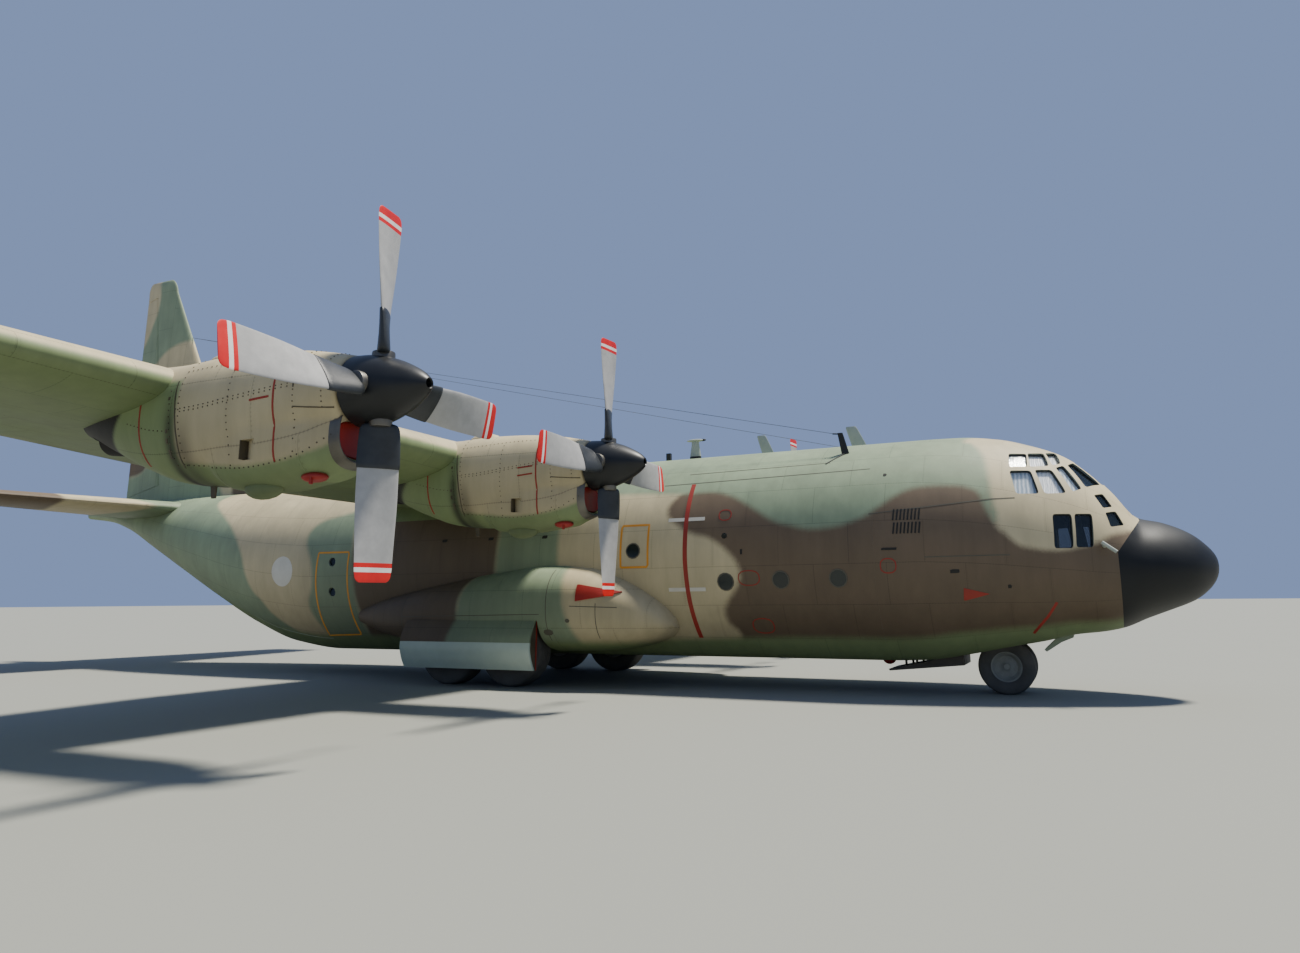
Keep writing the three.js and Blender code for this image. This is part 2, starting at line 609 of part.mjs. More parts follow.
function fin() {
  const rings = [0, 1].map((along) => surfaceRing(FIN, along));
  rings.push(tipRing(rings[1], 0.94, new THREE.Vector3(-0.02, 0, 0.22)));
  rings.push(tipRing(rings[1], 0.7, new THREE.Vector3(-0.05, 0, 0.38)));
  rings.push(tipRing(rings[1], 0.3, new THREE.Vector3(-0.08, 0, HEIGHT - FIN.tip.edge[2])));
  const dorsal = loft(
    DORSAL.map(([s, height, half]) => [
      point(s, -half, 4.35),
      point(s, -half / 4, 4.62 + height),
      point(s, half / 4, 4.62 + height),
      point(s, half, 4.35),
    ]),
  );
  return without(
    union(loft(rings), dorsal),
    hingeBay(FIN, RUDDER_SPAN, RUDDER_HINGE, 2),
    skinGrown,
  );
}

const rudder = () => hinged(FIN, RUDDER_SPAN, RUDDER_HINGE, 2);

function tailplane() {
  const rings = [0, 1].map((along) => surfaceRing(TAILPLANE, along));
  rings.push(tipRing(rings[1], 0.85, new THREE.Vector3(0, 0.2, 0)));
  rings.push(tipRing(rings[1], 0.55, new THREE.Vector3(0, TAIL_HALF_SPAN - TAILPLANE.tip.edge[1], 0)));
  return without(loft(rings), hingeBay(TAILPLANE, ELEVATOR_SPAN, ELEVATOR_HINGE), skinGrown);
}

const elevator = () => hinged(TAILPLANE, ELEVATOR_SPAN, ELEVATOR_HINGE);

// Power plants

// Cowling sections, from the prop shaft: station, half width, top, bottom
const COWL = [
  [8.95, 0.41, 0.4, -0.44],
  [9.22, 0.47, 0.46, -0.52],
  [9.65, 0.54, 0.54, -0.66],
  [10.3, 0.58, 0.6, -0.82],
  [10.9, 0.6, 0.62, -0.92],
  [11.5, 0.6, 0.6, -0.86],
  [12.1, 0.56, 0.62, -0.68],
  [12.7, 0.46, 0.6, -0.44],
  [13.4, 0.26, 0.3, -0.16],
];
const SCOOP = [
  [8.95, 0.4, -0.2, -0.9],
  [9.3, 0.46, -0.2, -0.98],
  [10.0, 0.51, -0.15, -1.03],
  [10.4, 0.48, -0.25, -1.02],
  [10.98, 0.38, -0.4, -0.9],
];
const INTAKE = [
  [8.85, 0.3, -0.48, -0.84],
  [9.5, 0.26, -0.54, -0.84],
];
const COWL_SIDES = 16;
const TAIL_PIPE = { from: 12.2, to: 13.05, drop: -0.3, fall: -0.04, radius: 0.25, bore: 0.2, depth: 0.6 };
const SHAFT = 0.11;
const SPINNER_REAR = 8.93;

// A rounded section between a top and a bottom, squarer than an ellipse
function podRing(y, z, [station, half, top, bottom]) {
  const ring = [];
  for (let i = 0; i < COWL_SIDES; i++) {
    const angle = (2 * Math.PI * (i + 0.5)) / COWL_SIDES;
    const [c, s] = [Math.cos(angle), Math.sin(angle)];
    const across = Math.sign(c) * Math.abs(c) ** 0.85 * half;
    const up = Math.sign(s) * Math.abs(s) ** 0.85 * ((top - bottom) / 2);
    ring.push(point(station, y + across, z + (top + bottom) / 2 + up));
  }
  return ring;
}

function nacelle({ y, z }, tunnel) {
  const pod = (rows) => loft(rows.map((row) => podRing(y, z, row)));
  const { from, to, drop, fall, radius, bore, depth } = TAIL_PIPE;
  const pipe = rod(point(from, y, z + drop), point(to, y, z + drop + fall), radius, 16);
  const mouth = rod(point(to - depth, y, z + drop + fall * (1 - depth / (to - from))),
    point(to + 0.2, y, z + drop + fall), bore, 16);
  const shaft = rod(point(9.4, y, z), point(SPINNER_REAR - 0.3, y, z), SHAFT, 16);
  return without(union(pod(COWL), pod(SCOOP), pipe, shaft), pod(INTAKE), mouth, tunnel);
}

// Spinner: distance ahead of the prop plane, radius
const SPINNER = [
  [0.64, 0.08],
  [0.48, 0.19],
  [0.25, 0.3],
  [0, 0.375],
  [PROP_STATION - SPINNER_REAR, 0.4],
];
const SPINNER_NOSE_HOLE = { depth: 0.09, radius: 0.045 };
const SPINNER_SIDES = 20;
const SHAFT_HOLE = { depth: 0.32, radius: SHAFT / Math.cos(Math.PI / SPINNER_SIDES) + SEAM };

// Blade sections: radius, chord, thickness, share of the twist from root to tip
const BLADE = [
  [0.3, 0.3, 0.15, 0],
  [0.46, 0.4, 0.12, 0.03],
  [0.83, 0.44, 0.07, 0.27],
  [1.4, 0.47, 0.04, 0.68],
  [1.99, 0.46, 0.02, 0.98],
  [PROP_RADIUS, 0.4, 0.014, 1],
];
const ROOT_TWIST = 32;
// Outline of a blade's section: share of the chord ahead of its middle, share of the thickness
const BLADE_OUTLINE = [[0.5, 0], [0.2, 0.5], [-0.25, 0.34], [-0.5, 0], [-0.25, -0.34], [0.2, -0.5]];

function blade(tipPitch) {
  const rings = BLADE.map(([radius, chord, thickness, twist]) => {
    const pitch = THREE.MathUtils.degToRad(tipPitch + ROOT_TWIST * (1 - twist));
    return BLADE_OUTLINE.map(([ahead, thick]) => {
      const [a, t] = [ahead * chord, thick * thickness];
      return new THREE.Vector3(a * Math.sin(pitch) + t * Math.cos(pitch), -a * Math.cos(pitch) + t * Math.sin(pitch), radius);
    });
  });
  return loft(rings);
}

function propeller({ y, z, tipPitch }) {
  const [front, rear] = [SPINNER[0][0] - SPINNER_NOSE_HOLE.depth, PROP_STATION - SPINNER_REAR];
  const { depth, radius } = SHAFT_HOLE;
  const profile = [[front, 0], [front, SPINNER_NOSE_HOLE.radius], ...SPINNER, [rear, radius], [rear + depth, radius],
    [rear + depth, 0]];
  const points = profile.map(([ahead, r]) => new THREE.Vector2(r, ahead));
  const spinner = new THREE.LatheGeometry(points, SPINNER_SIDES);
  spinner.rotateZ(-Math.PI / 2);
  let solid = solidOf(spinner);
  for (let quarter = 0; quarter < 4; quarter++) {
    solid = solid.add(moved(blade(tipPitch), new THREE.Matrix4().makeRotationX((quarter * Math.PI) / 2)));
  }
  return moved(solid, new THREE.Matrix4().makeTranslation(at(PROP_STATION), y, z));
}

// Main gear

// Sponson: station, outermost y, top, bottom
const SPONSON = [
  [9.0, 2.02, 1.3, 1.12],
  [9.14, 2.28, 1.53, 0.99],
  [9.55, 2.46, 1.87, 0.84],
  [10.0, 2.58, 2.13, 0.74],
  [10.7, 2.68, 2.36, 0.68],
  [11.6, 2.74, 2.42, 0.66],
  [12.8, 2.74, 2.3, 0.66],
  [14.0, 2.7, 2.12, 0.68],
  [15.0, 2.56, 1.95, 0.76],
  [16.0, 2.3, 1.75, 0.95],
  [16.7, 2.02, 1.55, 1.15],
];
const SPONSON_INNER = 1.4;
const SPONSON_STEPS = 12;
const WELL = { stations: [11.55, 14.75], inner: 1.3, outer: 2.52, top: 1.64, doorTop: 1.28 };

function sponsonRing([station, outer, top, bottom]) {
  const ring = [];
  for (let i = 0; i <= SPONSON_STEPS; i++) {
    const angle = Math.PI * (i / SPONSON_STEPS - 0.5);
    const across = Math.cos(angle) ** 0.7 * (outer - SPONSON_INNER);
    const up = Math.sign(angle) * Math.abs(Math.sin(angle)) ** 0.85 * ((top - bottom) / 2);
    ring.push(point(station, SPONSON_INNER + across, (top + bottom) / 2 + up));
  }
  return ring;
}

function sponson() {
  const { stations, inner, outer, top, doorTop } = WELL;
  return without(
    loft(SPONSON.map(sponsonRing)),
    skinGrown,
    box(stations, [inner, outer], [-1, top]),
    box(stations, [inner, 4], [-1, doorTop]),
  );
}

// The gear door hangs open outside the wheels, bowed outwards: y and z of its outer face from the hinge down
const MAIN_DOOR_BOW = [[2.72, WELL.doorTop - SEAM], [2.82, 1.12], [2.9, 0.94], [2.92, 0.76], [2.87, 0.56], [2.76, 0.35]];
const MAIN_DOOR_THICKNESS = 0.05;

function mainGearDoor() {
  const [from, to] = [WELL.stations[0] + 0.04, WELL.stations[1] - 0.04];
  const section = [...MAIN_DOOR_BOW, ...MAIN_DOOR_BOW.map(([y, z]) => [y - MAIN_DOOR_THICKNESS, z]).reverse()];
  return loft([from, to].map((s) => section.map(([y, z]) => point(s, y, z))));
}

// Tyre and wheel in one: distance from the middle of the tread, radius
function wheelProfile(radius, width, bore) {
  const w = width / 2;
  const rim = radius * 0.5;
  return [
    [w * 0.4, 0],
    [w * 0.4, rim * 0.7],
    [w * 0.85, rim],
    [w, radius * 0.76],
    [w * 0.84, radius * 0.94],
    [w * 0.4, radius],
    [-w * 0.4, radius],
    [-w * 0.84, radius * 0.94],
    [-w, radius * 0.76],
    [-w * 0.85, rim],
    [-w * 0.6, bore],
    [w * 0.1, bore],
    [w * 0.1, 0],
  ];
}
const WHEEL_SIDES = 24;
const FLAT = Math.cos(Math.PI / WHEEL_SIDES);

// A wheel about the y axis whose flank with the bore faces inboard; it stands on one of its flats
function wheel(station, y, { radius, width, axle }) {
  const bore = axle / Math.cos(Math.PI / 16) + SEAM;
  const points = wheelProfile(radius, width, bore).map(([along, r]) => new THREE.Vector2(r, along));
  const geometry = new THREE.LatheGeometry(points, WHEEL_SIDES);
  geometry.rotateY(Math.PI / WHEEL_SIDES);
  if (y < 0) geometry.rotateX(Math.PI);
  geometry.translate(at(station), y, radius * FLAT);
  return solidOf(geometry);
}

const MAIN_WHEEL = { radius: 0.71, width: 0.51, axle: 0.07 };
const NOSE_WHEEL = { radius: 0.47, width: 0.33, axle: 0.05 };
const MAIN_LEG = { y: 1.79, radius: 0.1, top: 1.5, beam: [1.0, 1.12] };

function mainLegs() {
  const hub = MAIN_WHEEL.radius * FLAT;
  const { y, radius, top, beam } = MAIN_LEG;
  const axleEnd = MAIN_TRACK_HALF + MAIN_WHEEL.width * 0.05 - SEAM;
  const struts = Object.values(MAIN_AXLES).map((s) =>
    union(
      rod(point(s, y, hub - 0.14), point(s, y, top), radius),
      rod(point(s, y, hub), point(s, axleEnd, hub), MAIN_WHEEL.axle, 16),
    ),
  );
  const { front, rear } = MAIN_AXLES;
  return without(union(...struts, box([front, rear], [y - 0.09, y + 0.01], beam)), skinGrown);
}

// Nose gear
const NOSE_LEG = { radius: 0.085, piston: 0.06, collar: 0.93 };

function noseLeg() {
  const { radius, collar } = NOSE_LEG;
  const top = NOSE_BAY.top - SEAM;
  const tube = rod(point(NOSE_AXLE, 0, collar), point(NOSE_AXLE, 0, top), radius);
  const brace = rod(point(NOSE_AXLE + 0.02, 0, collar + 0.12), point(NOSE_AXLE + 0.8, 0, top - 0.06), 0.035);
  const trunnion = rod(point(NOSE_AXLE, -0.4, top - 0.12), point(NOSE_AXLE, 0.4, top - 0.12), 0.06);
  return union(tube, brace, trunnion);
}

function noseFork() {
  const hub = NOSE_WHEEL.radius * FLAT;
  const { piston, collar } = NOSE_LEG;
  const axleEnd = NOSE_WHEEL_HALF_TRACK + NOSE_WHEEL.width * 0.05 - SEAM;
  const link = (from, to) => rod(point(...from), point(...to), 0.03, 8);
  return union(
    rod(point(NOSE_AXLE, 0, hub - 0.08), point(NOSE_AXLE, 0, collar - SEAM), piston),
    rod(point(NOSE_AXLE, -axleEnd, hub), point(NOSE_AXLE, axleEnd, hub), NOSE_WHEEL.axle, 16),
    link([NOSE_AXLE, 0, hub + 0.06], [NOSE_AXLE - 0.2, 0, hub + 0.2]),
    link([NOSE_AXLE - 0.2, 0, hub + 0.2], [NOSE_AXLE, 0, collar - 0.06]),
  );
}

// Nose gear doors hang open ahead of the wheels and behind them: [station, z] outlines
const NOSE_DOOR_HALF = 0.5;
const NOSE_DOOR_FRONT = [[2.24, 1.1], [2.27, 0.98], [2.46, 0.9], [2.7, 0.74], [2.74, 0.77], [2.54, 0.96], [2.42, 1.1]];
const NOSE_DOOR_REAR = [[4.06, 0.7], [4.06, 0.48], [5.36, 0.36], [5.38, 0.39], [4.7, 0.53]];
const NOSE_DOOR_LINKS = [4.89, 5.08];

function noseGearDoorFront() {
  return without(sidePrism(NOSE_DOOR_FRONT, [-NOSE_DOOR_HALF, NOSE_DOOR_HALF]), skinGrown);
}

function noseGearDoorRear() {
  const links = NOSE_DOOR_LINKS.flatMap((s) =>
    [-1, 1].map((side) => rod(point(s, side * 0.36, 0.4), point(s, side * 0.36, 0.8), 0.022, 8)),
  );
  return without(union(sidePrism(NOSE_DOOR_REAR, [-NOSE_DOOR_HALF, NOSE_DOOR_HALF]), ...links), skinGrown);
}

// The assembly
const aircraft = new THREE.Group();
aircraft.scale.setScalar(MODEL_MM_PER_METRE);

function add(name, solid, colour, roughness = 0.6, metalness = 0) {
  const material = new THREE.MeshStandardMaterial({ color: COLOURS[colour], roughness, metalness });
  const mesh = new THREE.Mesh(geometryOf(solid), material);
  mesh.name = name;
  aircraft.add(mesh);
}

// A piece on the port side and its mirror image
function addPair(name, solid, colour, roughness, metalness) {
  add(name + "_left", solid, colour, roughness, metalness);
  add(name + "_right", mirrored(solid), colour, roughness, metalness);
}

add("radome", radome(), "black");
add("forward_fuselage", forwardFuselage(), "sand");
add("centre_fuselage", centreFuselage(), "green");
add("aft_fuselage", aftFuselage(), "green");
add("cargo_floor", cargoFloor(), "cabin");
add("flight_deck", flightDeck(), "cabin");
add("instrument_panel", instrumentPanel(), "black");
add("crew_seat_left", crewSeat(0.62), "cabin");
add("crew_seat_right", crewSeat(-0.62), "cabin");
add("cockpit_glass", cockpitGlass(), "glass", 0.1);
add("crew_door", crewDoor(), "sand");
add("cargo_ramp", cargoRamp(), "underside");
add("cargo_door", cargoDoor(), "underside");
addPair("troop_door", troopDoor(), "green");

add("centre_wing", centreWing(), "sand");
addPair("wing", outerWing(), "green");
addPair("inner_flap", innerFlap(), "brown");
addPair("outer_flap", outerFlap(), "brown");
addPair("aileron", aileron(), "green");
add("fin", fin(), "sand");
add("rudder", rudder(), "sand");
addPair("tailplane", tailplane(), "brown");
addPair("elevator", elevator(), "brown");

const tunnel = wingTunnel();
for (const engine of ENGINES) {
  add("nacelle_" + engine.name, nacelle(engine, tunnel), "underside");
  add("propeller_" + engine.name, propeller(engine), "grey", 0.4);
}

addPair("sponson", sponson(), "green");
addPair("main_gear_door", mainGearDoor(), "underside");
addPair("main_legs", mainLegs(), "steel", 0.4, 0.6);
for (const [place, station] of Object.entries(MAIN_AXLES)) {
  add("main_wheel_" + place + "_left", wheel(station, MAIN_TRACK_HALF, MAIN_WHEEL), "tyre", 0.9);
  add("main_wheel_" + place + "_right", wheel(station, -MAIN_TRACK_HALF, MAIN_WHEEL), "tyre", 0.9);
}
add("nose_leg", noseLeg(), "steel", 0.4, 0.6);
add("nose_fork", noseFork(), "steel", 0.4, 0.6);
add("nose_wheel_left", wheel(NOSE_AXLE, NOSE_WHEEL_HALF_TRACK, NOSE_WHEEL), "tyre", 0.9);
add("nose_wheel_right", wheel(NOSE_AXLE, -NOSE_WHEEL_HALF_TRACK, NOSE_WHEEL), "tyre", 0.9);
add("nose_gear_door_front", noseGearDoorFront(), "underside");
add("nose_gear_door_rear", noseGearDoorRear(), "underside");

export default aircraft;
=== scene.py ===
from math import cos, pi, radians, sin

import bmesh
import bpy
import numpy as np
from mathutils import Matrix, Vector


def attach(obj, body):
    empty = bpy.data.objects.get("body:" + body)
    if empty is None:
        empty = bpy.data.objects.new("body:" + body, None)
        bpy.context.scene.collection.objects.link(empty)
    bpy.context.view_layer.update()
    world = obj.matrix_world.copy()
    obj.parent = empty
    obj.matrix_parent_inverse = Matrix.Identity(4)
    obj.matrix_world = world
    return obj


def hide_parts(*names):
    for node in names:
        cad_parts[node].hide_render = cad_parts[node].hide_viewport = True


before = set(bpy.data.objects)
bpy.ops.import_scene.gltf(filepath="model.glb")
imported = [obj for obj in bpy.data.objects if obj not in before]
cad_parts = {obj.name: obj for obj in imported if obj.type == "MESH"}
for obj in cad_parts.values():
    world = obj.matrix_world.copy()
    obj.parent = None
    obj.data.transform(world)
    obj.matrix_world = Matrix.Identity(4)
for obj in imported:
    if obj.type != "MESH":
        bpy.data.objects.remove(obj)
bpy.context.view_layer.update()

# Studio: a pale matt floor under soft light, seen from low down, ahead of the nose and to starboard.
# The camera's place, aim and lens were worked out from the photograph and the aircraft's known sizes.
MODEL = 0.5  # metres on the 1:2 model for each metre of the real aircraft
LENGTH = 29.79  # real metres, as every size below unless its comment says otherwise
SIDES = ((1, "left"), (-1, "right"))
IMAGE = (1300, 953)
FOCAL_PIXELS = 890.8
SENSOR = 36  # millimetres
AXIS_ROW = 431.5  # image row that the lens points at
CAMERA = (2.011, -17.497, 1.640)  # behind the nose tip, to port, above the ground
YAW, PITCH, ROLL = radians(25.658), radians(10.759), radians(-0.409)


def place(station, y, z):
    """Points of the model from real metres: station is the distance behind the nose tip, y to port, z up."""
    parts = np.broadcast_arrays(LENGTH / 2 - np.asarray(station, float), y, z)
    return np.stack(parts, axis=-1) * MODEL


def linear(code):
    """Linear colour from sRGB hex: x / 12.92 below 0.04045, and ((x + 0.055) / 1.055) ** 2.4 above it."""
    parts = [int(code[i : i + 2], 16) / 255 for i in (1, 3, 5)]
    return [x / 12.92 if x <= 0.04045 else ((x + 0.055) / 1.055) ** 2.4 for x in parts] + [1.0]


def node(tree, kind, inputs=(), out=0, **settings):
    """Adds a shader node with settings and links, and gives one output; an input is a value or an output."""
    made = tree.nodes.new("ShaderNode" + kind)
    for key, value in settings.items():
        setattr(made, key, value)
    for key, value in dict(inputs).items():
        if isinstance(value, bpy.types.NodeSocket):
            tree.links.new(value, made.inputs[key])
        else:
            made.inputs[key].default_value = value
    return made.outputs[out]


def finish(name, colour, roughness, metallic=0.0, **sockets):
    """A material with one principled shader, and its tree; sockets are the shader's own values."""
    material = bpy.data.materials.new(name)
    material.use_nodes = True
    tree = material.node_tree
    shader = tree.nodes["Principled BSDF"]
    shader.inputs["Base Color"].default_value = linear(colour)
    shader.inputs["Roughness"].default_value = roughness
    shader.inputs["Metallic"].default_value = metallic
    for key, value in sockets.items():
        shader.inputs[key.replace("_", " ")].default_value = value
    return material, tree, shader


def wire(tree, shader, **sockets):
    """Links outputs of nodes to the shader's inputs."""
    for key, socket in sockets.items():
        tree.links.new(socket, shader.inputs[key.replace("_", " ")])


camera_data = bpy.data.cameras.new("camera")
camera_data.sensor_width = SENSOR
camera_data.lens = SENSOR * FOCAL_PIXELS / IMAGE[0]
camera_data.shift_y = (AXIS_ROW - IMAGE[1] / 2) / IMAGE[0]
camera_data.clip_end = 1000
camera = bpy.data.objects.new("camera", camera_data)
aim = Vector((-sin(YAW) * cos(PITCH), cos(YAW) * cos(PITCH), sin(PITCH)))
level = Vector((cos(YAW), sin(YAW), 0))
above = level.cross(aim)
right = level * cos(ROLL) + above * sin(ROLL)
upright = above * cos(ROLL) - level * sin(ROLL)
facing = Matrix((right, upright, -aim)).transposed().to_4x4()
camera.matrix_world = Matrix.Translation(Vector(place(*CAMERA))) @ facing
bpy.context.scene.collection.objects.link(camera)
bpy.context.scene.camera = camera

SKY = "#A8C3FA"
SKY_STRENGTH = 0.56
world = bpy.data.worlds.new("studio")
world.use_nodes = True
sky = world.node_tree.nodes["Background"]
sky.inputs["Color"].default_value = linear(SKY)
sky.inputs["Strength"].default_value = SKY_STRENGTH
bpy.context.scene.world = world

SUN_ELEVATION, SUN_AZIMUTH, SUN_SPREAD = radians(67), radians(40), radians(7)
SUN_STRENGTH, SUN_COLOUR = 7.2, "#FFFAEE"
sun_data = bpy.data.lights.new("key", "SUN")
sun_data.energy = SUN_STRENGTH
sun_data.angle = SUN_SPREAD
sun_data.color = linear(SUN_COLOUR)[:3]
sun = bpy.data.objects.new("key", sun_data)
sun.rotation_euler = (0, pi / 2 - SUN_ELEVATION, SUN_AZIMUTH)
bpy.context.scene.collection.objects.link(sun)

FLOOR_HALF = 400.0  # model metres
FLOOR_GREY = "#909188"
corners = [(x, y, 0) for x, y in ((-1, -1), (1, -1), (1, 1), (-1, 1))]
floor_mesh = bpy.data.meshes.new("floor")
floor_mesh.from_pydata([[c * FLOOR_HALF for c in corner] for corner in corners], [], [(0, 1, 2, 3)])
floor = bpy.data.objects.new("floor", floor_mesh)
bpy.context.scene.collection.objects.link(floor)
floor_paint, tree, shader = finish("pale_studio_floor", FLOOR_GREY, 0.9)
coords = node(tree, "TexCoord", out="Object")
worn = node(tree, "TexNoise", {"Vector": coords, "Scale": 0.6, "Detail": 6})
wire(tree, shader, Roughness=node(tree, "MapRange", {"Value": worn, "To Min": 0.82, "To Max": 0.96}))
floor_mesh.materials.append(floor_paint)

# Airframe enamel: matt polyurethane camouflage sprayed over aluminium sheet, faded by sun and streaked by
# rain. Each piece carries how far a point lies inside the green, the brown and the underside coats, in
# metres, and its place on the sheet, which draws the panel joints and rivets. Sprayed edges are soft over
# about 180 mm.
SAND, GREEN, BROWN, UNDERSIDE = "#C8BA94", "#8B9A7C", "#6E5E4A", "#8B9C6C"
# The near black that soot and oil stains darken the enamel towards, and painted shade too
SOOT_AND_SHADE = "#1E1A14"
EDGE_WIDTH = 0.09
DEPTH_LIMIT = 0.6  # a point further inside or outside counts as this far
RIVET_PITCH = 0.045  # coarser than the real 25 mm, so that it shows
PANEL = (1.25, 0.72)  # length and width of one sheet
JOINT_WIDTH, RIVET_BAND = 0.004, 0.03
JOINT_DARK, RIVET_DARK = 0.28, 0.16

enamel, tree, shader = finish("faded_camouflage_enamel", SAND, 0.6, Specular_IOR_Level=0.35)
coords = node(tree, "TexCoord", out="Object")
patches = node(tree, "TexNoise", {"Vector": coords, "Scale": 2.2, "Detail": 3})
ragged = node(tree, "TexNoise", {"Vector": coords, "Scale": 60, "Detail": 2})
ragged = node(tree, "Math", {0: ragged, 1: 0.5}, operation="SUBTRACT")
ragged = node(tree, "Math", {0: ragged, 1: 0.05}, operation="MULTIPLY")
colour = linear(SAND)
for sprayed, code in (("brown", BROWN), ("green", GREEN), ("underside", UNDERSIDE)):
    depth = node(tree, "Attribute", out="Fac", attribute_name=sprayed)
    depth = node(tree, "Math", {0: depth, 1: ragged}, operation="ADD")
    cover = {"Value": depth, "From Min": -EDGE_WIDTH, "From Max": EDGE_WIDTH}
    cover = node(tree, "MapRange", cover, interpolation_type="SMOOTHSTEP")
    colour = node(tree, "Mix", {"Factor": cover, 6: colour, 7: linear(code)}, 2, data_type="RGBA")

# Soot and oil on the nacelles, and painted shade low on the fuselage and sponsons and under the wings and
# tail, darken the colour towards that near black
soot = node(tree, "Attribute", out="Fac", attribute_name="soot")
uneven = node(tree, "MapRange", {"Value": patches, "To Min": 0.75, "To Max": 1.25})
soot = node(tree, "Math", {0: soot, 1: uneven}, operation="MULTIPLY", use_clamp=True)
colour = node(tree, "Mix", {"Factor": soot, 6: colour, 7: linear(SOOT_AND_SHADE)}, 2, data_type="RGBA")

sheet = node(tree, "Attribute", out="Vector", attribute_name="sheet")
bricks = {"Vector": sheet, "Scale": 1, "Bias": 0, "Brick Width": PANEL[0], "Row Height": PANEL[1]}
seam = node(tree, "TexBrick", {**bricks, "Mortar Size": JOINT_WIDTH, "Mortar Smooth": 0.3}, "Fac", offset=0.5)
near_seam = node(tree, "TexBrick", {**bricks, "Mortar Size": RIVET_BAND, "Mortar Smooth": 0}, "Fac",
                 offset=0.5)
rivet = node(tree, "TexVoronoi", {"Vector": sheet, "Scale": 1 / RIVET_PITCH, "Randomness": 0.0})
rivet = node(tree, "MapRange", {"Value": rivet, "From Min": 0.3, "From Max": 0.16},
             interpolation_type="SMOOTHSTEP")
rivet = node(tree, "Math", {0: rivet, 1: near_seam}, operation="MULTIPLY")
fade = node(tree, "MapRange",
            {"Value": patches, "From Min": 0.3, "From Max": 0.7, "To Min": 0.88, "To Max": 1.1})
rain = node(tree, "Mapping", {"Vector": coords, "Scale": (9, 9, 0.9)})
rain = node(tree, "TexNoise", {"Vector": rain, "Scale": 1, "Detail": 5, "Roughness": 0.65})
rain = node(tree, "MapRange",
            {"Value": rain, "From Min": 0.35, "From Max": 0.65, "To Min": 0.92, "To Max": 1.04})
shade = node(tree, "Math", {0: fade, 1: rain}, operation="MULTIPLY")
dark = node(tree, "Math", {0: seam, 1: JOINT_DARK}, operation="MULTIPLY")
spots = node(tree, "Math", {0: rivet, 1: RIVET_DARK}, operation="MULTIPLY")
dark = node(tree, "Math", {0: dark, 1: spots}, operation="ADD")
dark = node(tree, "Math", {0: 1.0, 1: dark}, operation="SUBTRACT")
shade = node(tree, "Math", {0: shade, 1: dark}, operation="MULTIPLY")
colour = node(tree, "VectorMath", {0: colour, "Scale": shade}, operation="SCALE")
sheen = node(tree, "MapRange", {"Value": patches, "To Min": 0.48, "To Max": 0.72})
relief = node(tree, "Math", {0: seam, 1: rivet}, operation="ADD")
relief = node(tree, "Bump", {"Height": relief, "Strength": 0.25, "Distance": 0.001}, invert=True)
dents = node(tree, "TexNoise", {"Vector": coords, "Scale": 3.5, "Detail": 1})
dents = node(tree, "Bump", {"Height": dents, "Strength": 0.35, "Distance": 0.008, "Normal": relief})
wire(tree, shader, Base_Color=colour, Roughness=sheen, Normal=dents)


def smooth_outline(points, steps=6):
    """A closed curve through points: cubics whose slope at each is half the chord between its neighbours."""
    p = np.asarray(points, float)
    before, after = np.roll(p, 1, axis=0), np.roll(p, -1, axis=0)
    slope, next_slope = (after - before) / 2, (np.roll(p, -2, axis=0) - p) / 2
    t = (np.arange(steps) / steps)[None, :, None]
    p, after, slope, next_slope = (a[:, None] for a in (p, after, slope, next_slope))
    curve = (1 + 2 * t) * (1 - t) ** 2 * p + t * (1 - t) ** 2 * slope
    curve = curve + t * t * (3 - 2 * t) * after + t * t * (t - 1) * next_slope
    return curve.reshape(-1, 2)


def depth_inside(points, outlines, limit=DEPTH_LIMIT):
    """How far each flat point lies inside the nearest of some outlines, negative outside, up to the limit.

    The distance is to the nearest side; a point is inside when a line from it crosses the sides an odd number
    of times."""
    best = np.full(len(points), -limit)
    for outline in outlines:
        a = smooth_outline(outline)
        b = np.roll(a, -1, axis=0)
        side = b - a
        away = points[:, None] - a
        share = np.clip((away * side).sum(-1) / (side * side).sum(-1), 0, 1)
        gap = np.linalg.norm(away - share[..., None] * side, axis=-1).min(axis=1)
        x, y = points[:, :1], points[:, 1:]
        spans = (a[:, 1] > y) != (b[:, 1] > y)
        reach = a[:, 0] + (y - a[:, 1]) * side[:, 0] / np.where(side[:, 1] == 0, 1e-9, side[:, 1])
        inside = ((spans & (x < reach)).sum(axis=1) % 2) == 1
        best = np.maximum(best, np.where(inside, gap, -gap))
    return np.clip(best, -limit, limit)


def coat(piece, **fields):
    """Stores numbers on a piece's points for its paint: a number, or a place on the sheet, for each point."""
    for name, values in fields.items():
        values = np.asarray(values, np.float32)
        kind, key = ("FLOAT_VECTOR", "vector") if values.ndim == 2 else ("FLOAT", "value")
        layer = piece.data.attributes.new(name, kind, "POINT")
        layer.data.foreach_set(key, values.ravel())


def spray(piece, plan, brown, green, underside, soot, sheet):
    """Coats a piece whose points lie at places on a flat plan, by the outlines of brown and of green on it.

    The underside is how far each point lies inside that coat, and the sheet is its place on the plates."""
    sheet = np.stack(np.broadcast_arrays(*sheet, 0), axis=-1)
    coat(piece, brown=depth_inside(plan, brown), green=depth_inside(plan, green), soot=soot, sheet=sheet,
         underside=np.clip(underside, -DEPTH_LIMIT, DEPTH_LIMIT))


def real_points(piece):
    """A piece's points as real metres: distance behind the nose tip, to port, and up."""
    co = np.empty(len(piece.data.vertices) * 3)
    piece.data.vertices.foreach_get("co", co)
    co = co.reshape(-1, 3) / MODEL
    return LENGTH / 2 - co[:, 0], co[:, 1], co[:, 2]


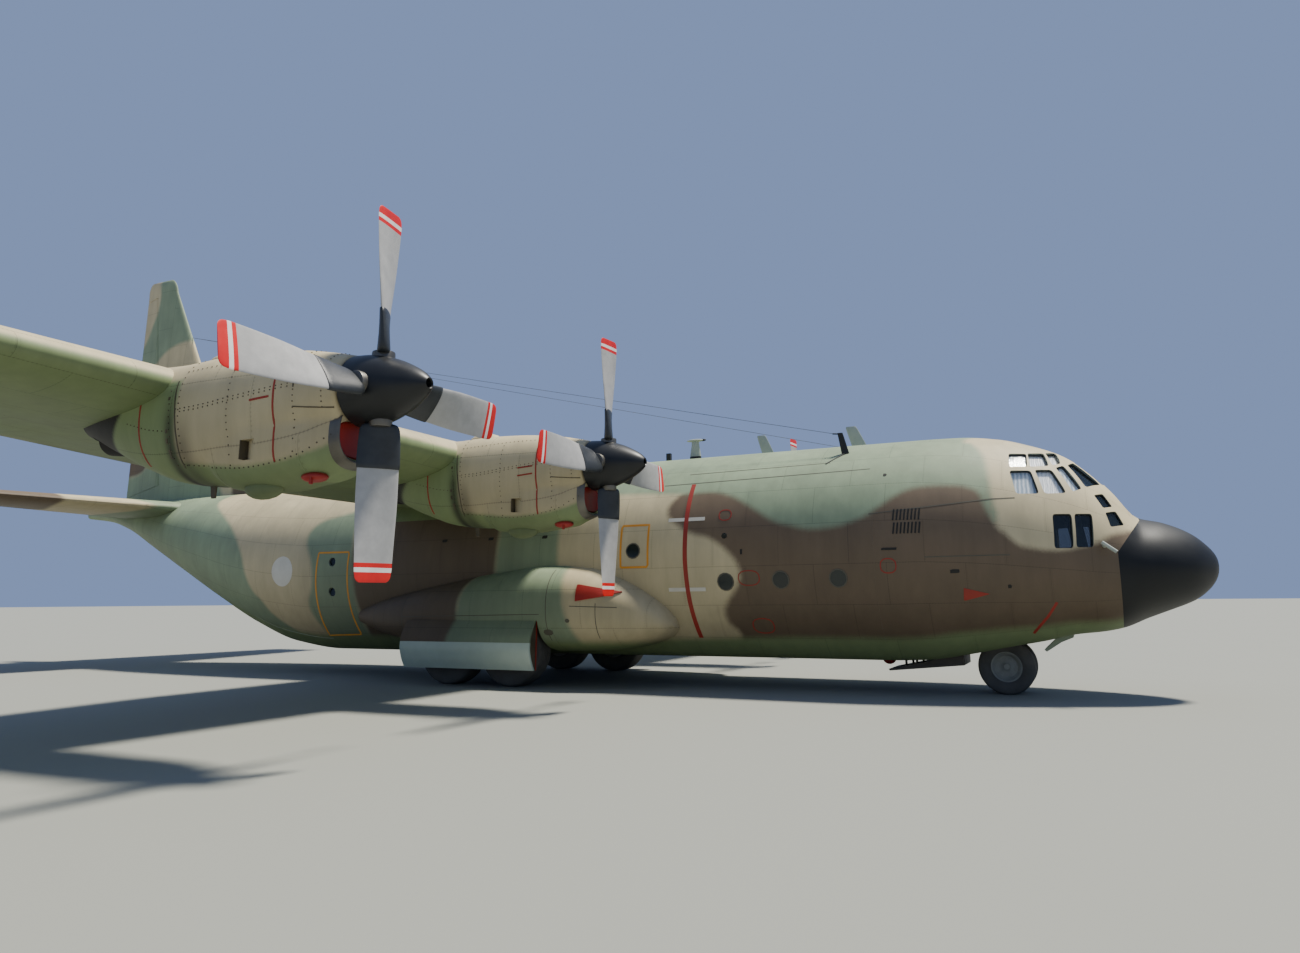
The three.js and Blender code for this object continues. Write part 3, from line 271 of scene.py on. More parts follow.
# Fuselage skin: aluminium sheet riveted over frames and stringers, round in the middle, with a flat belly.
# It is made as a closed wall 110 mm thick, then the joints, doors and windows are cut out of it.
# Columns: station, half width, crown, height of the widest place, belly, share of the lower depth cut flat.
SECTIONS = np.array([
    [0.0, 0.03, 2.18, 2.15, 2.12, 0.97],
    [0.13, 0.42, 2.47, 2.14, 1.81, 0.97],
    [0.38, 0.74, 2.7, 2.13, 1.6, 0.97],
    [0.78, 1.04, 2.89, 2.12, 1.43, 0.97],
    [1.12, 1.22, 2.98, 2.12, 1.3, 0.96],
    [1.48, 1.37, 3.46, 2.15, 1.15, 0.94],
    [1.77, 1.49, 3.79, 2.18, 1.09, 0.92],
    [2.22, 1.66, 4.15, 2.24, 1.04, 0.9],
    [2.71, 1.81, 4.36, 2.3, 0.93, 0.88],
    [3.21, 1.93, 4.51, 2.36, 0.84, 0.87],
    [3.91, 2.06, 4.6, 2.42, 0.7, 0.866],
    [4.6, 2.14, 4.61, 2.45, 0.6, 0.866],
    [5.2, 2.16, 4.61, 2.45, 0.58, 0.866],
    [18.0, 2.16, 4.61, 2.45, 0.58, 0.866],
    [19.5, 2.12, 4.61, 2.55, 0.74, 0.866],
    [21.0, 2.0, 4.62, 2.75, 1.18, 0.87],
    [22.5, 1.8, 4.63, 3.05, 1.78, 0.88],
    [24.0, 1.52, 4.64, 3.35, 2.42, 0.9],
    [25.5, 1.18, 4.65, 3.7, 3.06, 0.92],
    [27.0, 0.8, 4.66, 4.02, 3.7, 0.94],
    [28.5, 0.42, 4.63, 4.28, 4.1, 0.95],
    [29.79, 0.1, 4.46, 4.36, 4.26, 0.97],
])
WALL = 0.11
SEAM = 0.0006
RUN = 0.014
COCKPIT_BREAK, TAIL_BREAK = 5.2, 18.0
CAVITY = (1.64, 27.0)
SKIN_RADIUS = 2.16


def through(table, along):
    """Values between a table's rows by cubics, the first column being the distance along.

    The slope at each row is the harmonic mean of the slopes on its two sides, and none where they differ in
    sign, so that no column overshoots its rows."""
    at, rows = table[:, 0], table[:, 1:]
    step = np.diff(at)[:, None]
    rise = np.diff(rows, axis=0) / step
    product, total = rise[:-1] * rise[1:], rise[:-1] + rise[1:]
    middle = np.where(product > 0, 2 * product / np.where(total == 0, 1, total), 0)
    slope = np.vstack([rise[:1], middle, rise[-1:]])
    along = np.clip(np.asarray(along, float), at[0], at[-1])
    i = np.clip(np.searchsorted(at, along, side="right") - 1, 0, len(at) - 2)
    h = step[i]
    t = ((along - at[i]) / h[..., 0])[..., None]
    value = (1 + 2 * t) * (1 - t) ** 2 * rows[i] + t * (1 - t) ** 2 * h * slope[i]
    return value + t * t * (3 - 2 * t) * rows[i + 1] + t * t * (t - 1) * h * slope[i + 1]


def section(station):
    """The fuselage's columns at a station. Cubics run along its square root, so that the nose is blunt."""
    table = SECTIONS.copy()
    table[:, 0] = np.sqrt(table[:, 0])
    return np.moveaxis(through(table, np.sqrt(np.maximum(station, 0))), -1, 0)


def fuselage_rings(stations, inset=0.0, lower=16, upper=26):
    """Rings of the skin: two half ellipses, one above the other, cut flat at the belly.

    The angle runs from the belly's edge, below the widest place, to the crown; the width goes by its cosine
    and the height by its sine."""
    half, crown, widest, belly, flat = (column[:, None] for column in section(np.asarray(stations, float)))
    low = -np.arcsin(flat)
    share = np.linspace(0, 1, lower, endpoint=False)
    rise = np.broadcast_to(np.linspace(0, pi / 2, upper), (len(half), upper))
    angle = np.hstack([low * (1 - share), rise])
    depth = np.where(angle < 0, (widest - belly - inset) / flat, crown - inset - widest)
    y = (half - inset) * np.cos(angle)
    z = widest + depth * np.sin(angle)
    across = np.linspace(-1, 1, 7)[1:-1] * y[:, :1]
    y = np.hstack([across, y, -y[:, -2::-1]])
    z = np.hstack([np.broadcast_to(z[:, :1], across.shape), z, z[:, -2::-1]])
    return place(np.asarray(stations)[:, None], y, z)


def piece_of(name, points, faces, smooth=35):
    """A mesh object from points and faces, its faces turned outwards and smooth below an angle in degrees."""
    mesh = bpy.data.meshes.new(name)
    mesh.from_pydata(np.asarray(points).reshape(-1, 3).tolist(), [], faces)
    made = bpy.data.objects.new(name, mesh)
    bpy.context.scene.collection.objects.link(made)
    tidy(made, smooth)
    return made


def tidy(piece, smooth=35, merge=0.0):
    """Faces turned outwards, points closer than merge joined, and edges sharper than an angle left sharp."""
    work = bmesh.new()
    work.from_mesh(piece.data)
    if merge:
        bmesh.ops.remove_doubles(work, verts=work.verts, dist=merge)
    bmesh.ops.recalc_face_normals(work, faces=work.faces)
    work.to_mesh(piece.data)
    work.free()
    piece.data.polygons.foreach_set("use_smooth", [True] * len(piece.data.polygons))
    piece.data.set_sharp_from_angle(angle=radians(smooth))


def loft(name, rings, smooth=35, ends=True):
    """A closed skin over rings of points, each joined to the next, with flat ends."""
    rings = np.asarray(rings)
    count, around = rings.shape[:2]
    index = np.arange(count * around).reshape(count, around)
    beside = np.roll(index, -1, axis=1)
    quads = np.stack([index[:-1], beside[:-1], beside[1:], index[1:]], axis=-1).reshape(-1, 4).tolist()
    if ends:
        quads += [index[0, ::-1].tolist(), index[-1].tolist()]
    return piece_of(name, rings, quads, smooth)


def combine(piece, tool, operation="DIFFERENCE", smooth=35, keep=False):
    """Cuts, joins or crosses a piece with another, which is used up unless it is kept."""
    cutter = piece.modifiers.new("cut", "BOOLEAN")
    cutter.operation, cutter.object, cutter.solver = operation, tool, "EXACT"
    graph = bpy.context.evaluated_depsgraph_get()
    mesh = bpy.data.meshes.new_from_object(piece.evaluated_get(graph))
    piece.modifiers.clear()
    old, piece.data = piece.data, mesh
    bpy.data.meshes.remove(old)
    if not keep:
        bpy.data.objects.remove(tool)
    tidy(piece, smooth, merge=2e-5)
    return piece


def prism(name, outline, low, high, across="y"):
    """A straight block from an outline, from low to high: [station, z] sideways, or [station, y] upwards."""
    flat = np.asarray(outline, float)
    ends = np.array([low, high])[:, None]
    if across == "y":
        return loft(name, place(flat[None, :, 0], ends, flat[None, :, 1]), 1)
    return loft(name, place(flat[None, :, 0], flat[None, :, 1], ends), 1)


def block(name, stations, ys, zs):
    """A plain block between two stations, two sideways places and two heights."""
    (a, b), (c, d) = stations, zs
    return prism(name, [[a, c], [b, c], [b, d], [a, d]], *ys)


def wear(piece, material, body, slot, *nodes):
    """Gives a piece its material, body and slot, and the nodes that it stands for."""
    piece.data.materials.clear()
    piece.data.materials.append(material)
    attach(piece, body)
    if nodes:
        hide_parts(*nodes)
    return piece


# Camouflage of the fuselage: outlines of the brown and the green, as station and degrees round from the
# crown, read off the starboard side of the photograph. The port side has the same pattern, shifted as it goes
# down.
BROWN_SIDES = [
    [(1.0, 66), (1.53, 70), (1.76, 77), (2.18, 84), (2.46, 86), (2.74, 86), (2.92, 85), (3.12, 80),
     (3.27, 75), (3.5, 52), (4.5, 50), (6.0, 60), (7.5, 55), (8.6, 52), (9.02, 60), (9.07, 69), (8.63, 78),
     (8.24, 81), (7.94, 86), (7.71, 92), (7.61, 99), (7.71, 106), (7.9, 112), (8.0, 118), (7.96, 125),
     (7.79, 132), (7.7, 160), (1.0, 160)],
    [(13.9, -30), (13.7, 5), (13.1, 30), (12.95, 55), (12.9, 80), (13.0, 110), (13.2, 160), (16.6, 160),
     (16.75, 120), (16.9, 95), (16.8, 70), (16.5, 45), (16.9, 20), (17.1, -30)],
]
GREEN_SIDES = [
    [(3.82, -30), (3.77, 19), (3.64, 24), (3.44, 34), (3.35, 46), (3.31, 56), (3.29, 64), (3.22, 71),
     (3.27, 75), (3.41, 67), (3.48, 61), (3.6, 59), (3.84, 58), (4.47, 60), (4.78, 63.5), (5.12, 70),
     (5.34, 74), (5.78, 78), (6.29, 79), (6.64, 77), (6.99, 74), (7.38, 67), (7.79, 60), (8.2, 56),
     (8.88, 56), (10.0, 54), (11.0, 55), (11.4, 66), (11.45, 90), (11.4, 111), (11.5, 160), (13.2, 160),
     (13.0, 110), (12.9, 80), (12.95, 55), (13.1, 30), (13.6, 5), (13.8, -30)],
    [(17.0, 53), (16.95, 70), (16.8, 100), (16.9, 160), (18.0, 160), (18.06, 134), (18.22, 121), (18.26, 112),
     (18.06, 100), (18.1, 87), (18.33, 76), (18.36, 68), (18.1, 60), (17.4, 55)],
    [(22.9, -30), (22.75, 20), (22.58, 46), (21.25, 68), (20.59, 85), (20.39, 98), (20.18, 109), (19.77, 121),
     (19.4, 160), (31, 160), (31, -30)],
]
# Height of the underside's colour line above the belly
CHINE = np.array([
    [0.0, 0.05],
    [1.56, 0.15],
    [2.44, 0.22],
    [3.97, 0.39],
    [6.7, 0.4],
    [9.4, 0.33],
    [18.0, 0.33],
    [22.0, 0.25],
    [26.0, 0.15],
    [LENGTH, 0.05],
])
PORT_SHIFT = 0.8
PORT_WAVE = (0.55, 2.0)  # radians for each metre, and at the nose tip
# Painted shade on the sides, on the lowest part and in the wing's shadow: strength, height that it starts at,
# and how far down it grows. The last one fades in and out between four stations.
PAINTED_SHADE = ((0.06, 3.6, 1.0), (0.26, 2.5, 1.6), (0.16, 4.1, 1.0))
WING_SHADOW_STATIONS = (10.5, 12.5, 18.0, 20.5)


def mottled(tree, shader, scale, dark, light, detail=6, **inputs):
    """Gives a shader a tone that wanders between two colours; gives back the coordinates and the noise."""
    coords = node(tree, "TexCoord", out="Object")
    wander = node(tree, "TexNoise", {"Vector": coords, "Scale": scale, "Detail": detail, **inputs})
    tone = node(tree, "Mix", {"Factor": wander, 6: linear(dark), 7: linear(light)}, 2, data_type="RGBA")
    wire(tree, shader, Base_Color=tone)
    return coords, wander


cabin_paint, tree, shader = finish("cabin_primer_green", "#8C9686", 0.55)
coords = mottled(tree, shader, 5, "#6C7467", "#9AA391")[0]
quilt = node(tree, "TexVoronoi", {"Vector": coords, "Scale": 14})
wire(tree, shader, Normal=node(tree, "Bump", {"Height": quilt, "Strength": 0.3, "Distance": 0.004}))


def paint_fuselage(piece):
    """Sprays a piece of the skin by each point's station and angle from the crown round the widest height.

    Lengths round the skin are the angle times the fuselage's radius. To port, the pattern slides along by the
    sine of the way round times a slow wave of the station, so that the two sides meet at the crown."""
    station, y, z = real_points(piece)
    half, crown, widest, belly, flat = section(station)
    girth = np.arctan2(np.abs(y), z - widest) * SKIN_RADIUS
    shift = PORT_SHIFT * np.sin(girth / SKIN_RADIUS) * np.sin(PORT_WAVE[0] * station + PORT_WAVE[1])
    plan = np.stack([station + np.where(y > 0, shift, 0), girth], axis=-1)
    brown, green = ([[(s, radians(degrees) * SKIN_RADIUS) for s, degrees in outline] for outline in outlines]
                    for outlines in (BROWN_SIDES, GREEN_SIDES))
    # Painted shade: the colour darkens down the sides, towards the belly, and where the wing's shadow falls
    # between four stations
    sides, low, wing_shadow = (strength * np.clip((top - z) / growth, 0, 1) for strength, top, growth in PAINTED_SHADE)
    painted_shade = sides + low + wing_shadow * np.interp(station, WING_SHADOW_STATIONS, (0, 1, 1, 0))
    line = belly + np.interp(station, CHINE[:, 0], CHINE[:, 1])
    spray(piece, plan, brown, green, line - z, painted_shade, (station, girth))


def line_inside(piece, depth=0.03):
    """Gives the primer to the faces whose middle is deeper than this under the skin: their distance from the
    widest height's centre is compared with the section's, which is one over the root of the squares' sum."""
    count = len(piece.data.polygons)
    middle = np.empty(count * 3)
    piece.data.polygons.foreach_get("center", middle)
    middle = middle.reshape(-1, 3) / MODEL
    station, y, z = LENGTH / 2 - middle[:, 0], middle[:, 1], middle[:, 2]
    half, crown, widest, belly, flat = section(station)
    height = np.where(z > widest, crown - widest, (widest - belly) / flat)
    reach = np.sqrt((y / half) ** 2 + ((z - widest) / height) ** 2) * np.minimum(half, height)
    under = (reach < np.minimum(half, height) - depth) & (z > belly + depth)
    piece.data.materials.append(cabin_paint)
    piece.data.polygons.foreach_set("material_index", under.astype(np.int32))


def dress_shell(piece, body, slot, node_name):
    """Paints a piece of the skin outside, and gives its inner faces the cabin's primer."""
    paint_fuselage(piece)
    wear(piece, enamel, body, slot, node_name)
    line_inside(piece)


def skin_block(name, low, high, step, inset=0.0):
    """A closed loft of the fuselage between two stations."""
    stations = np.linspace(low, high, 2 + int((high - low) / step))
    return loft(name, fuselage_rings(stations, inset), 35)


def cavity(name, low, high):
    return skin_block(name, max(low, CAVITY[0]), min(high, CAVITY[1]), 0.4, WALL)


# Radome: a moulded glass-fibre shell over the weather radar, sprayed with matt black anti-static rubber
# paint. It is bolted to the nose bulkhead round its rear edge, where the paint has worn to grey.
RADOME_JOINT = [[-1, 0.4], [-1, 4.2], [1.11, 4.2], [1.11, 2.9], [1.5, 2.35], [1.5, 0.4]]
NOSE_TIP_STATIONS = np.array([0, 0.004, 0.015, 0.035, 0.06, 0.09, 0.13, 0.18, 0.24])

radome_black, tree, shader = finish("anti_static_rubber_paint", "#1C1F21", 0.5, Specular_IOR_Level=0.3)
coords, sooty = mottled(tree, shader, 4, "#0A0B0C", "#1F2224", 7, Roughness=0.6)
pebbled = node(tree, "TexNoise", {"Vector": coords, "Scale": 220, "Detail": 2})
wire(tree, shader, Roughness=node(tree, "MapRange", {"Value": sooty, "To Min": 0.4, "To Max": 0.62}),
     Normal=node(tree, "Bump", {"Height": pebbled, "Strength": 0.15, "Distance": 0.002}))

tip_rings = np.concatenate([NOSE_TIP_STATIONS, np.linspace(0.3, 1.62, 26)])
radome = loft("radome_shell", fuselage_rings(tip_rings), 40)
combine(radome, prism("radome_joint", RADOME_JOINT, -4, 4), "INTERSECT", 40)
wear(radome, radome_black, "airframe", "black_radome", "radome")

# Forward fuselage: the flight deck's shell, with its windows, crew door and nose wheel bay cut out of it.
# The pane corners were found by sending the photograph's lines of sight on to the skin.
PANES = [
    [[3.02, -1.05, 4.1], [2.74, -0.9, 4.1], [2.73, -1.22, 3.83], [3.01, -1.33, 3.83]],
    [[2.73, -0.87, 4.1], [2.48, -0.66, 4.11], [2.4, -1.02, 3.84], [2.69, -1.2, 3.83]],
    [[2.46, -0.62, 4.11], [2.3, -0.33, 4.15], [2.22, -0.81, 3.89], [2.35, -0.97, 3.85]],
    [[3.01, -1.39, 3.76], [2.68, -1.27, 3.76], [2.57, -1.51, 3.33], [2.92, -1.63, 3.34]],
    [[2.62, -1.23, 3.77], [2.36, -1.09, 3.77], [2.16, -1.33, 3.34], [2.49, -1.48, 3.33]],
    [[2.3, -1.0, 3.81], [2.18, -0.84, 3.86], [1.93, -1.1, 3.42], [2.07, -1.25, 3.36]],
    [[2.12, -0.75, 3.87], [2.03, -0.4, 3.94], [1.63, -0.57, 3.52], [1.87, -1.02, 3.44]],
    [[1.76, -1.05, 3.31], [1.62, -0.85, 3.34], [1.5, -0.96, 3.11], [1.64, -1.13, 3.08]],
    [[1.62, -1.17, 3.0], [1.46, -0.99, 3.03], [1.36, -1.09, 2.79], [1.56, -1.27, 2.76]],
    [[2.4, -1.6, 2.98], [2.12, -1.48, 2.98], [2.13, -1.62, 2.42], [2.41, -1.71, 2.42]],
    [[2.08, -1.46, 2.98], [1.82, -1.32, 2.98], [1.84, -1.5, 2.43], [2.09, -1.6, 2.43]],
]
CENTRE_PANE = [[2.02, -0.33, 3.95], [2.02, 0.33, 3.95], [1.6, 0.5, 3.53], [1.6, -0.5, 3.53]]
PANE_REACH = 0.3
DECK_MIDDLE = np.array([3.5, 0.0, 2.3])
PANE_CORNER = 0.14  # share of a side that its rounded corner takes
CREW_DOOR = {"stations": (3.95, 4.75), "zs": (1.0, 2.82)}
NOSE_BAY = {"stations": (2.3, 4.7), "half": 0.62, "top": 1.72, "wall": 0.06}


def mirrored(corners):
    return [[s, -y, z] for s, y, z in corners]


def rounded(corners, share=PANE_CORNER, steps=5):
    """A four-sided outline; its corners are quadratic curves that start a share of the way along sides."""
    c = np.asarray(corners, float)
    start = c + share * (np.roll(c, 1, axis=0) - c)
    end = c + share * (np.roll(c, -1, axis=0) - c)
    t = np.linspace(0, 1, steps)[None, :, None]
    curve = (1 - t) ** 2 * start[:, None] + 2 * t * (1 - t) * c[:, None] + t * t * end[:, None]
    return curve.reshape(-1, 3)


def pane_frame(corners):
    """The middle of a pane, and its outward direction: across its diagonals, away from the flight deck."""
    c = np.asarray(corners, float)
    outward = np.cross(c[2] - c[0], c[3] - c[1])
    outward /= np.linalg.norm(outward)
    middle = c.mean(axis=0)
    return middle, outward if (middle - DECK_MIDDLE) @ outward > 0 else -outward


def pane_slab(name, corners, low, high, scale=1.0):
    """A pane's rounded outline, scaled about its middle, as a slab from low to high along its direction."""
    middle, outward = pane_frame(corners)
    outline = middle + (rounded(corners) - middle) * scale
    ends = [outline + outward * reach for reach in (low, high)]
    return loft(name, [place(*end.T) for end in ends], 30)


def joined(name, pieces, smooth=30):
    """One mesh out of several pieces, which it uses up."""
    work = bmesh.new()
    for piece in pieces:
        work.from_mesh(piece.data)
    mesh = bpy.data.meshes.new(name)
    work.to_mesh(mesh)
    work.free()
    for piece in pieces:
        bpy.data.objects.remove(piece)
    made = bpy.data.objects.new(name, mesh)
    bpy.context.scene.collection.objects.link(made)
    tidy(made, smooth)
    return made


every_pane = PANES + [mirrored(corners) for corners in PANES] + [CENTRE_PANE]
forward = skin_block("forward_skin", 0.9, COCKPIT_BREAK - SEAM, 0.075)
lining = cavity("flight_deck_space", 0, COCKPIT_BREAK + 1)
bay_half = NOSE_BAY["half"] + NOSE_BAY["wall"]
bay_from, bay_to = NOSE_BAY["stations"]
bay_box = block("bay_box", (bay_from - NOSE_BAY["wall"], bay_to + NOSE_BAY["wall"]), (-bay_half, bay_half),
                (0, NOSE_BAY["top"] + NOSE_BAY["wall"]))
combine(lining, bay_box)
combine(forward, lining)
joint_behind = [[s + SEAM, z] for s, z in RADOME_JOINT]
combine(forward, prism("radome_side", joint_behind, -5, 5))
for number, corners in enumerate(every_pane):
    combine(forward, pane_slab(f"pane_hole_{number}", corners, -PANE_REACH, PANE_REACH))
bay_width = (-NOSE_BAY["half"], NOSE_BAY["half"])
combine(forward, block("nose_bay", NOSE_BAY["stations"], bay_width, (0, NOSE_BAY["top"])))
door_from, door_to = CREW_DOOR["stations"]
door_low, door_high = CREW_DOOR["zs"]
doorway_stations = (door_from - RUN, door_to + RUN)
combine(forward, block("crew_doorway", doorway_stations, (0.9, 3), (door_low, door_high + RUN)))
dress_shell(forward, "airframe", "sand_paint", "forward_fuselage")

# Flight deck glazing: laminated panes held in black rubber seals, a little below the skin.
# Silvered sunshades and a pale drape hang just behind the side and roof panes while the aircraft is parked.
PANE_DEPTH = (-0.05, -0.032)
SEAL_DEPTH = (-0.05, -0.012)
SHADE_DEPTH = (-0.075, -0.062)
SILVER_PANES = (0, 1, 2, 4)
DRAPED_PANES = (3, 5)


def pane_glass_of(name, tint, alpha):
    """Glass with a smeared, dusty outer face."""
    material, tree, shader = finish(name, tint, 0.04, Specular_IOR_Level=0.8, Alpha=alpha)
    coords = node(tree, "TexCoord", out="Object")
    smears = node(tree, "TexNoise", {"Vector": coords, "Scale": 9, "Detail": 4})
    smears = node(tree, "MapRange", {"Value": smears, "From Min": 0.4, "To Min": 0.03, "To Max": 0.2})
    wire(tree, shader, Roughness=smears)
    return material


pane_glass = pane_glass_of("laminated_windscreen_glass", "#1B242B", 0.42)
clear_glass = pane_glass_of("clear_side_glass", "#C6D2DA", 0.1)

seal_rubber, tree, shader = finish("window_seal_rubber", "#20211F", 0.7)
mottled(tree, shader, 60, "#161715", "#3A3B37", 3)


def creased_sheet(name, dark, light, metallic, roughness):
    """Foil or cloth that hangs in soft vertical creases, 60 mm apart on the real aircraft."""
    material, tree, shader = finish(name, light, roughness, metallic)
    coords = node(tree, "TexCoord", out="Object")
    creases = node(tree, "TexWave", {"Vector": coords, "Scale": 10, "Distortion": 3, "Detail": 3}, "Fac")
    tone = node(tree, "Mix", {"Factor": creases, 6: linear(dark), 7: linear(light)}, 2, data_type="RGBA")
    relief = node(tree, "Bump", {"Height": creases, "Strength": 0.6, "Distance": 0.01})
    wire(tree, shader, Base_Color=tone, Normal=relief)
    return material


silvered_foil = creased_sheet("silvered_sunshade_foil", "#DDE0E2", "#FFFFFF", 0.1, 0.4)
pale_drape = creased_sheet("pale_drape_cotton", "#8FA3B4", "#E4ECF2", 0.0, 0.8)


def hoop(name, loops, smooth=35):
    """A ring with a solid section: closed loops of points, each joined to the next, the last to the first."""
    return loft(name, list(loops) + [loops[0]], smooth, ends=False)


def pane_loop(corners, scale, reach):
    middle, outward = pane_frame(corners)
    return place(*(middle + (rounded(corners) - middle) * scale + outward * reach).T)


def pane_seal(name, corners):
    section_points = [(1.0, SEAL_DEPTH[1]), (0.955, SEAL_DEPTH[1]), (0.955, SEAL_DEPTH[0]),
                      (1.0, SEAL_DEPTH[0])]
    seal = hoop(name, [pane_loop(corners, scale, reach) for scale, reach in section_points])
    tidy(seal, 35, merge=2e-5)
    return seal


shaded = [i + other for i in SILVER_PANES + DRAPED_PANES for other in (0, len(PANES))]
for name, glass, chosen in (("flight_deck_glazing", pane_glass,
                             [i for i in range(len(every_pane)) if i not in shaded]),
                            ("shaded_glazing", clear_glass, shaded)):
    glazing = joined(name, [pane_slab(f"pane_{i}", every_pane[i], *PANE_DEPTH, 0.975) for i in chosen])
    wear(glazing, glass, "airframe", "window_glass", "cockpit_glass")
seals = joined("flight_deck_seals", [pane_seal(f"seal_{i}", c) for i, c in enumerate(every_pane)], 35)
wear(seals, seal_rubber, "airframe", "black_plastic")
for name, chosen, cloth in (("sunshades", SILVER_PANES, silvered_foil),
                            ("side_drapes", DRAPED_PANES, pale_drape)):
    covers = [every_pane[i + other] for i in chosen for other in (0, len(PANES))]
    shades = joined(name, [pane_slab(f"{name}_{i}", c, *SHADE_DEPTH, 0.99) for i, c in enumerate(covers)])
    wear(shades, cloth, "airframe", "seat_fabric")


# Inside: sheet floors and a bulkhead in primer, a black instrument panel under its coaming, and two crew
# seats. They are the CAD pieces, which show only through the windows and the doors.
ROUGHNESS_SPREAD = 0.12


def worn_paint(name, dark, light, roughness, grain=30.0, metallic=0.0, bump_depth=0.002):
    """Paint, metal or cloth whose tone and sheen wander, with a fine grain in its relief."""
    material, tree, shader = finish(name, light, roughness, metallic)
    coords, wander = mottled(tree, shader, grain / 8, dark, light, Roughness=0.6)
    low, high = roughness - ROUGHNESS_SPREAD, min(roughness + ROUGHNESS_SPREAD, 1)
    rough = node(tree, "MapRange", {"Value": wander, "To Min": low, "To Max": high})
    relief = node(tree, "TexNoise", {"Vector": coords, "Scale": grain * 8, "Detail": 2})
    relief = node(tree, "Bump", {"Height": relief, "Strength": 0.3, "Distance": bump_depth})
    wire(tree, shader, Roughness=rough, Normal=relief)
    return material


def refinish(material, *names):
    """Gives CAD pieces that stay in view a new material."""
    for name in names:
        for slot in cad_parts[name].material_slots:
            slot.material = material


panel_black = worn_paint("crackle_finish_black", "#141516", "#26282A", 0.6, 60)
seat_cloth = worn_paint("woven_seat_nylon", "#39403A", "#58604F", 0.85, 120)
refinish(cabin_paint, "cargo_floor", "flight_deck")
refinish(panel_black, "instrument_panel")
refinish(seat_cloth, "crew_seat_left", "crew_seat_right")

# Crew door: a piece of the port skin with its own frames, hinged at its foot, with steps on its inner face.
# It is painted as the skin round it.
STEPS = (1.35, 1.68, 2.01)
STEP_INSET, STEP_DEPTH, STEP_THICKNESS = 0.12, 0.13, 0.03
crew_door = skin_block("crew_door_skin", 3.8, 4.9, 0.06)
combine(crew_door, cavity("crew_door_space", 3, 6))
combine(crew_door, block("crew_door_edge", (door_from, door_to), (0.9, 3), (door_low + SEAM, door_high)),
        "INTERSECT")
dress_shell(crew_door, "crew_door", "sand_paint", "crew_door")
steps = []
half, crown, widest, belly, flat = section((door_from + door_to) / 2)
for height in STEPS:
    inner = (half - WALL) * np.sqrt(1 - ((height - widest) * flat / (widest - belly - WALL)) ** 2)
    steps.append(block(f"step_{height}", (door_from + STEP_INSET, door_to - STEP_INSET),
                       (inner - STEP_DEPTH, inner + STEP_THICKNESS), (height, height + STEP_THICKNESS)))
crew_steps = joined("crew_door_steps", steps)
wear(crew_steps, panel_black, "crew_door", "black_plastic")

# Centre fuselage: the cargo hold's shell, with a saddle cut for the wing and openings for the troop doors.
# It is riveted sheet over close frames, bolted to the nose and the tail at its two ends.
TROOP_DOOR = {"stations": (17.02, 17.88), "zs": (1.04, 2.86)}
SADDLE = {"stations": (11.1, 16.35), "zs": (3.42, 5.2)}


def doorway(name, grow):
    (low, high), (bottom, top) = TROOP_DOOR["stations"], TROOP_DOOR["zs"]
    return block(name, (low - grow, high + grow), (-4, 4), (bottom - grow, top + grow))


def saddle_block(name, grow):
    (low, high), (bottom, top) = SADDLE["stations"], SADDLE["zs"]
    return block(name, (low - grow, high + grow), (-3, 3), (bottom - grow, top))


centre = skin_block("centre_skin", COCKPIT_BREAK, TAIL_BREAK - SEAM, 0.11)
combine(centre, cavity("hold", COCKPIT_BREAK - 1, TAIL_BREAK + 1))
combine(centre, doorway("troop_doorways", SEAM))
combine(centre, saddle_block("wing_saddle", SEAM))
dress_shell(centre, "airframe", "green_paint", "centre_fuselage")

# Troop doors: pieces of the skin on either side behind the wheels, each with two small round windows.
# Each is a sheet panel on its own frames, with glass discs clamped in the window holes.
PORTS = ((17.45, 2.56), (17.47, 1.89))
PORT_RADIUS, PORT_SUNK = 0.1, 0.05


def full_turn(count):
    """Angles spread evenly round a circle."""
    return np.linspace(0, 2 * pi, count, endpoint=False)


def disc_bar(name, centre_point, axis, radius, length, sides=32, hollow=0.0):
    """A round bar about an axis, or a tube of the hollow radius: its section's corners go round evenly."""
    axis = np.asarray(axis, float) / np.linalg.norm(axis)
    across = np.cross(axis, [0, 0, 1.0] if abs(axis[2]) < 0.9 else [1.0, 0, 0])
    across /= np.linalg.norm(across)
    upward = np.cross(axis, across)
    angle = full_turn(sides)[:, None]
    spoke = np.cos(angle) * across + np.sin(angle) * upward
    ends = [np.asarray(centre_point) + axis * shift for shift in (-length / 2, length / 2)]
    if not hollow:
        return loft(name, [place(*(end + spoke * radius).T) for end in ends], 30)
    loops = [(ends[0], radius), (ends[1], radius), (ends[1], hollow), (ends[0], hollow)]
    tube = hoop(name, [place(*(end + spoke * r).T) for end, r in loops], 30)
    tidy(tube, 30, merge=2e-5)
    return tube


def unit(directions):
    return directions / np.linalg.norm(directions, axis=-1, keepdims=True)


def body_side(station, height, side):
    """Points of the fuselage's side at a station and a height, and which way they face: across by the root of
    one less the square of the height's share."""
    half, crown, widest, belly, flat = section(station)
    reach = np.where(height > widest, crown - widest, (widest - belly) / flat)
    share = (height - widest) / reach
    across = half * np.sqrt(np.maximum(1 - share**2, 0))
    outward = np.stack([0 * across, side * across / half**2, share / reach], axis=-1)
    return np.stack([station, side * across, height], axis=-1), unit(outward)


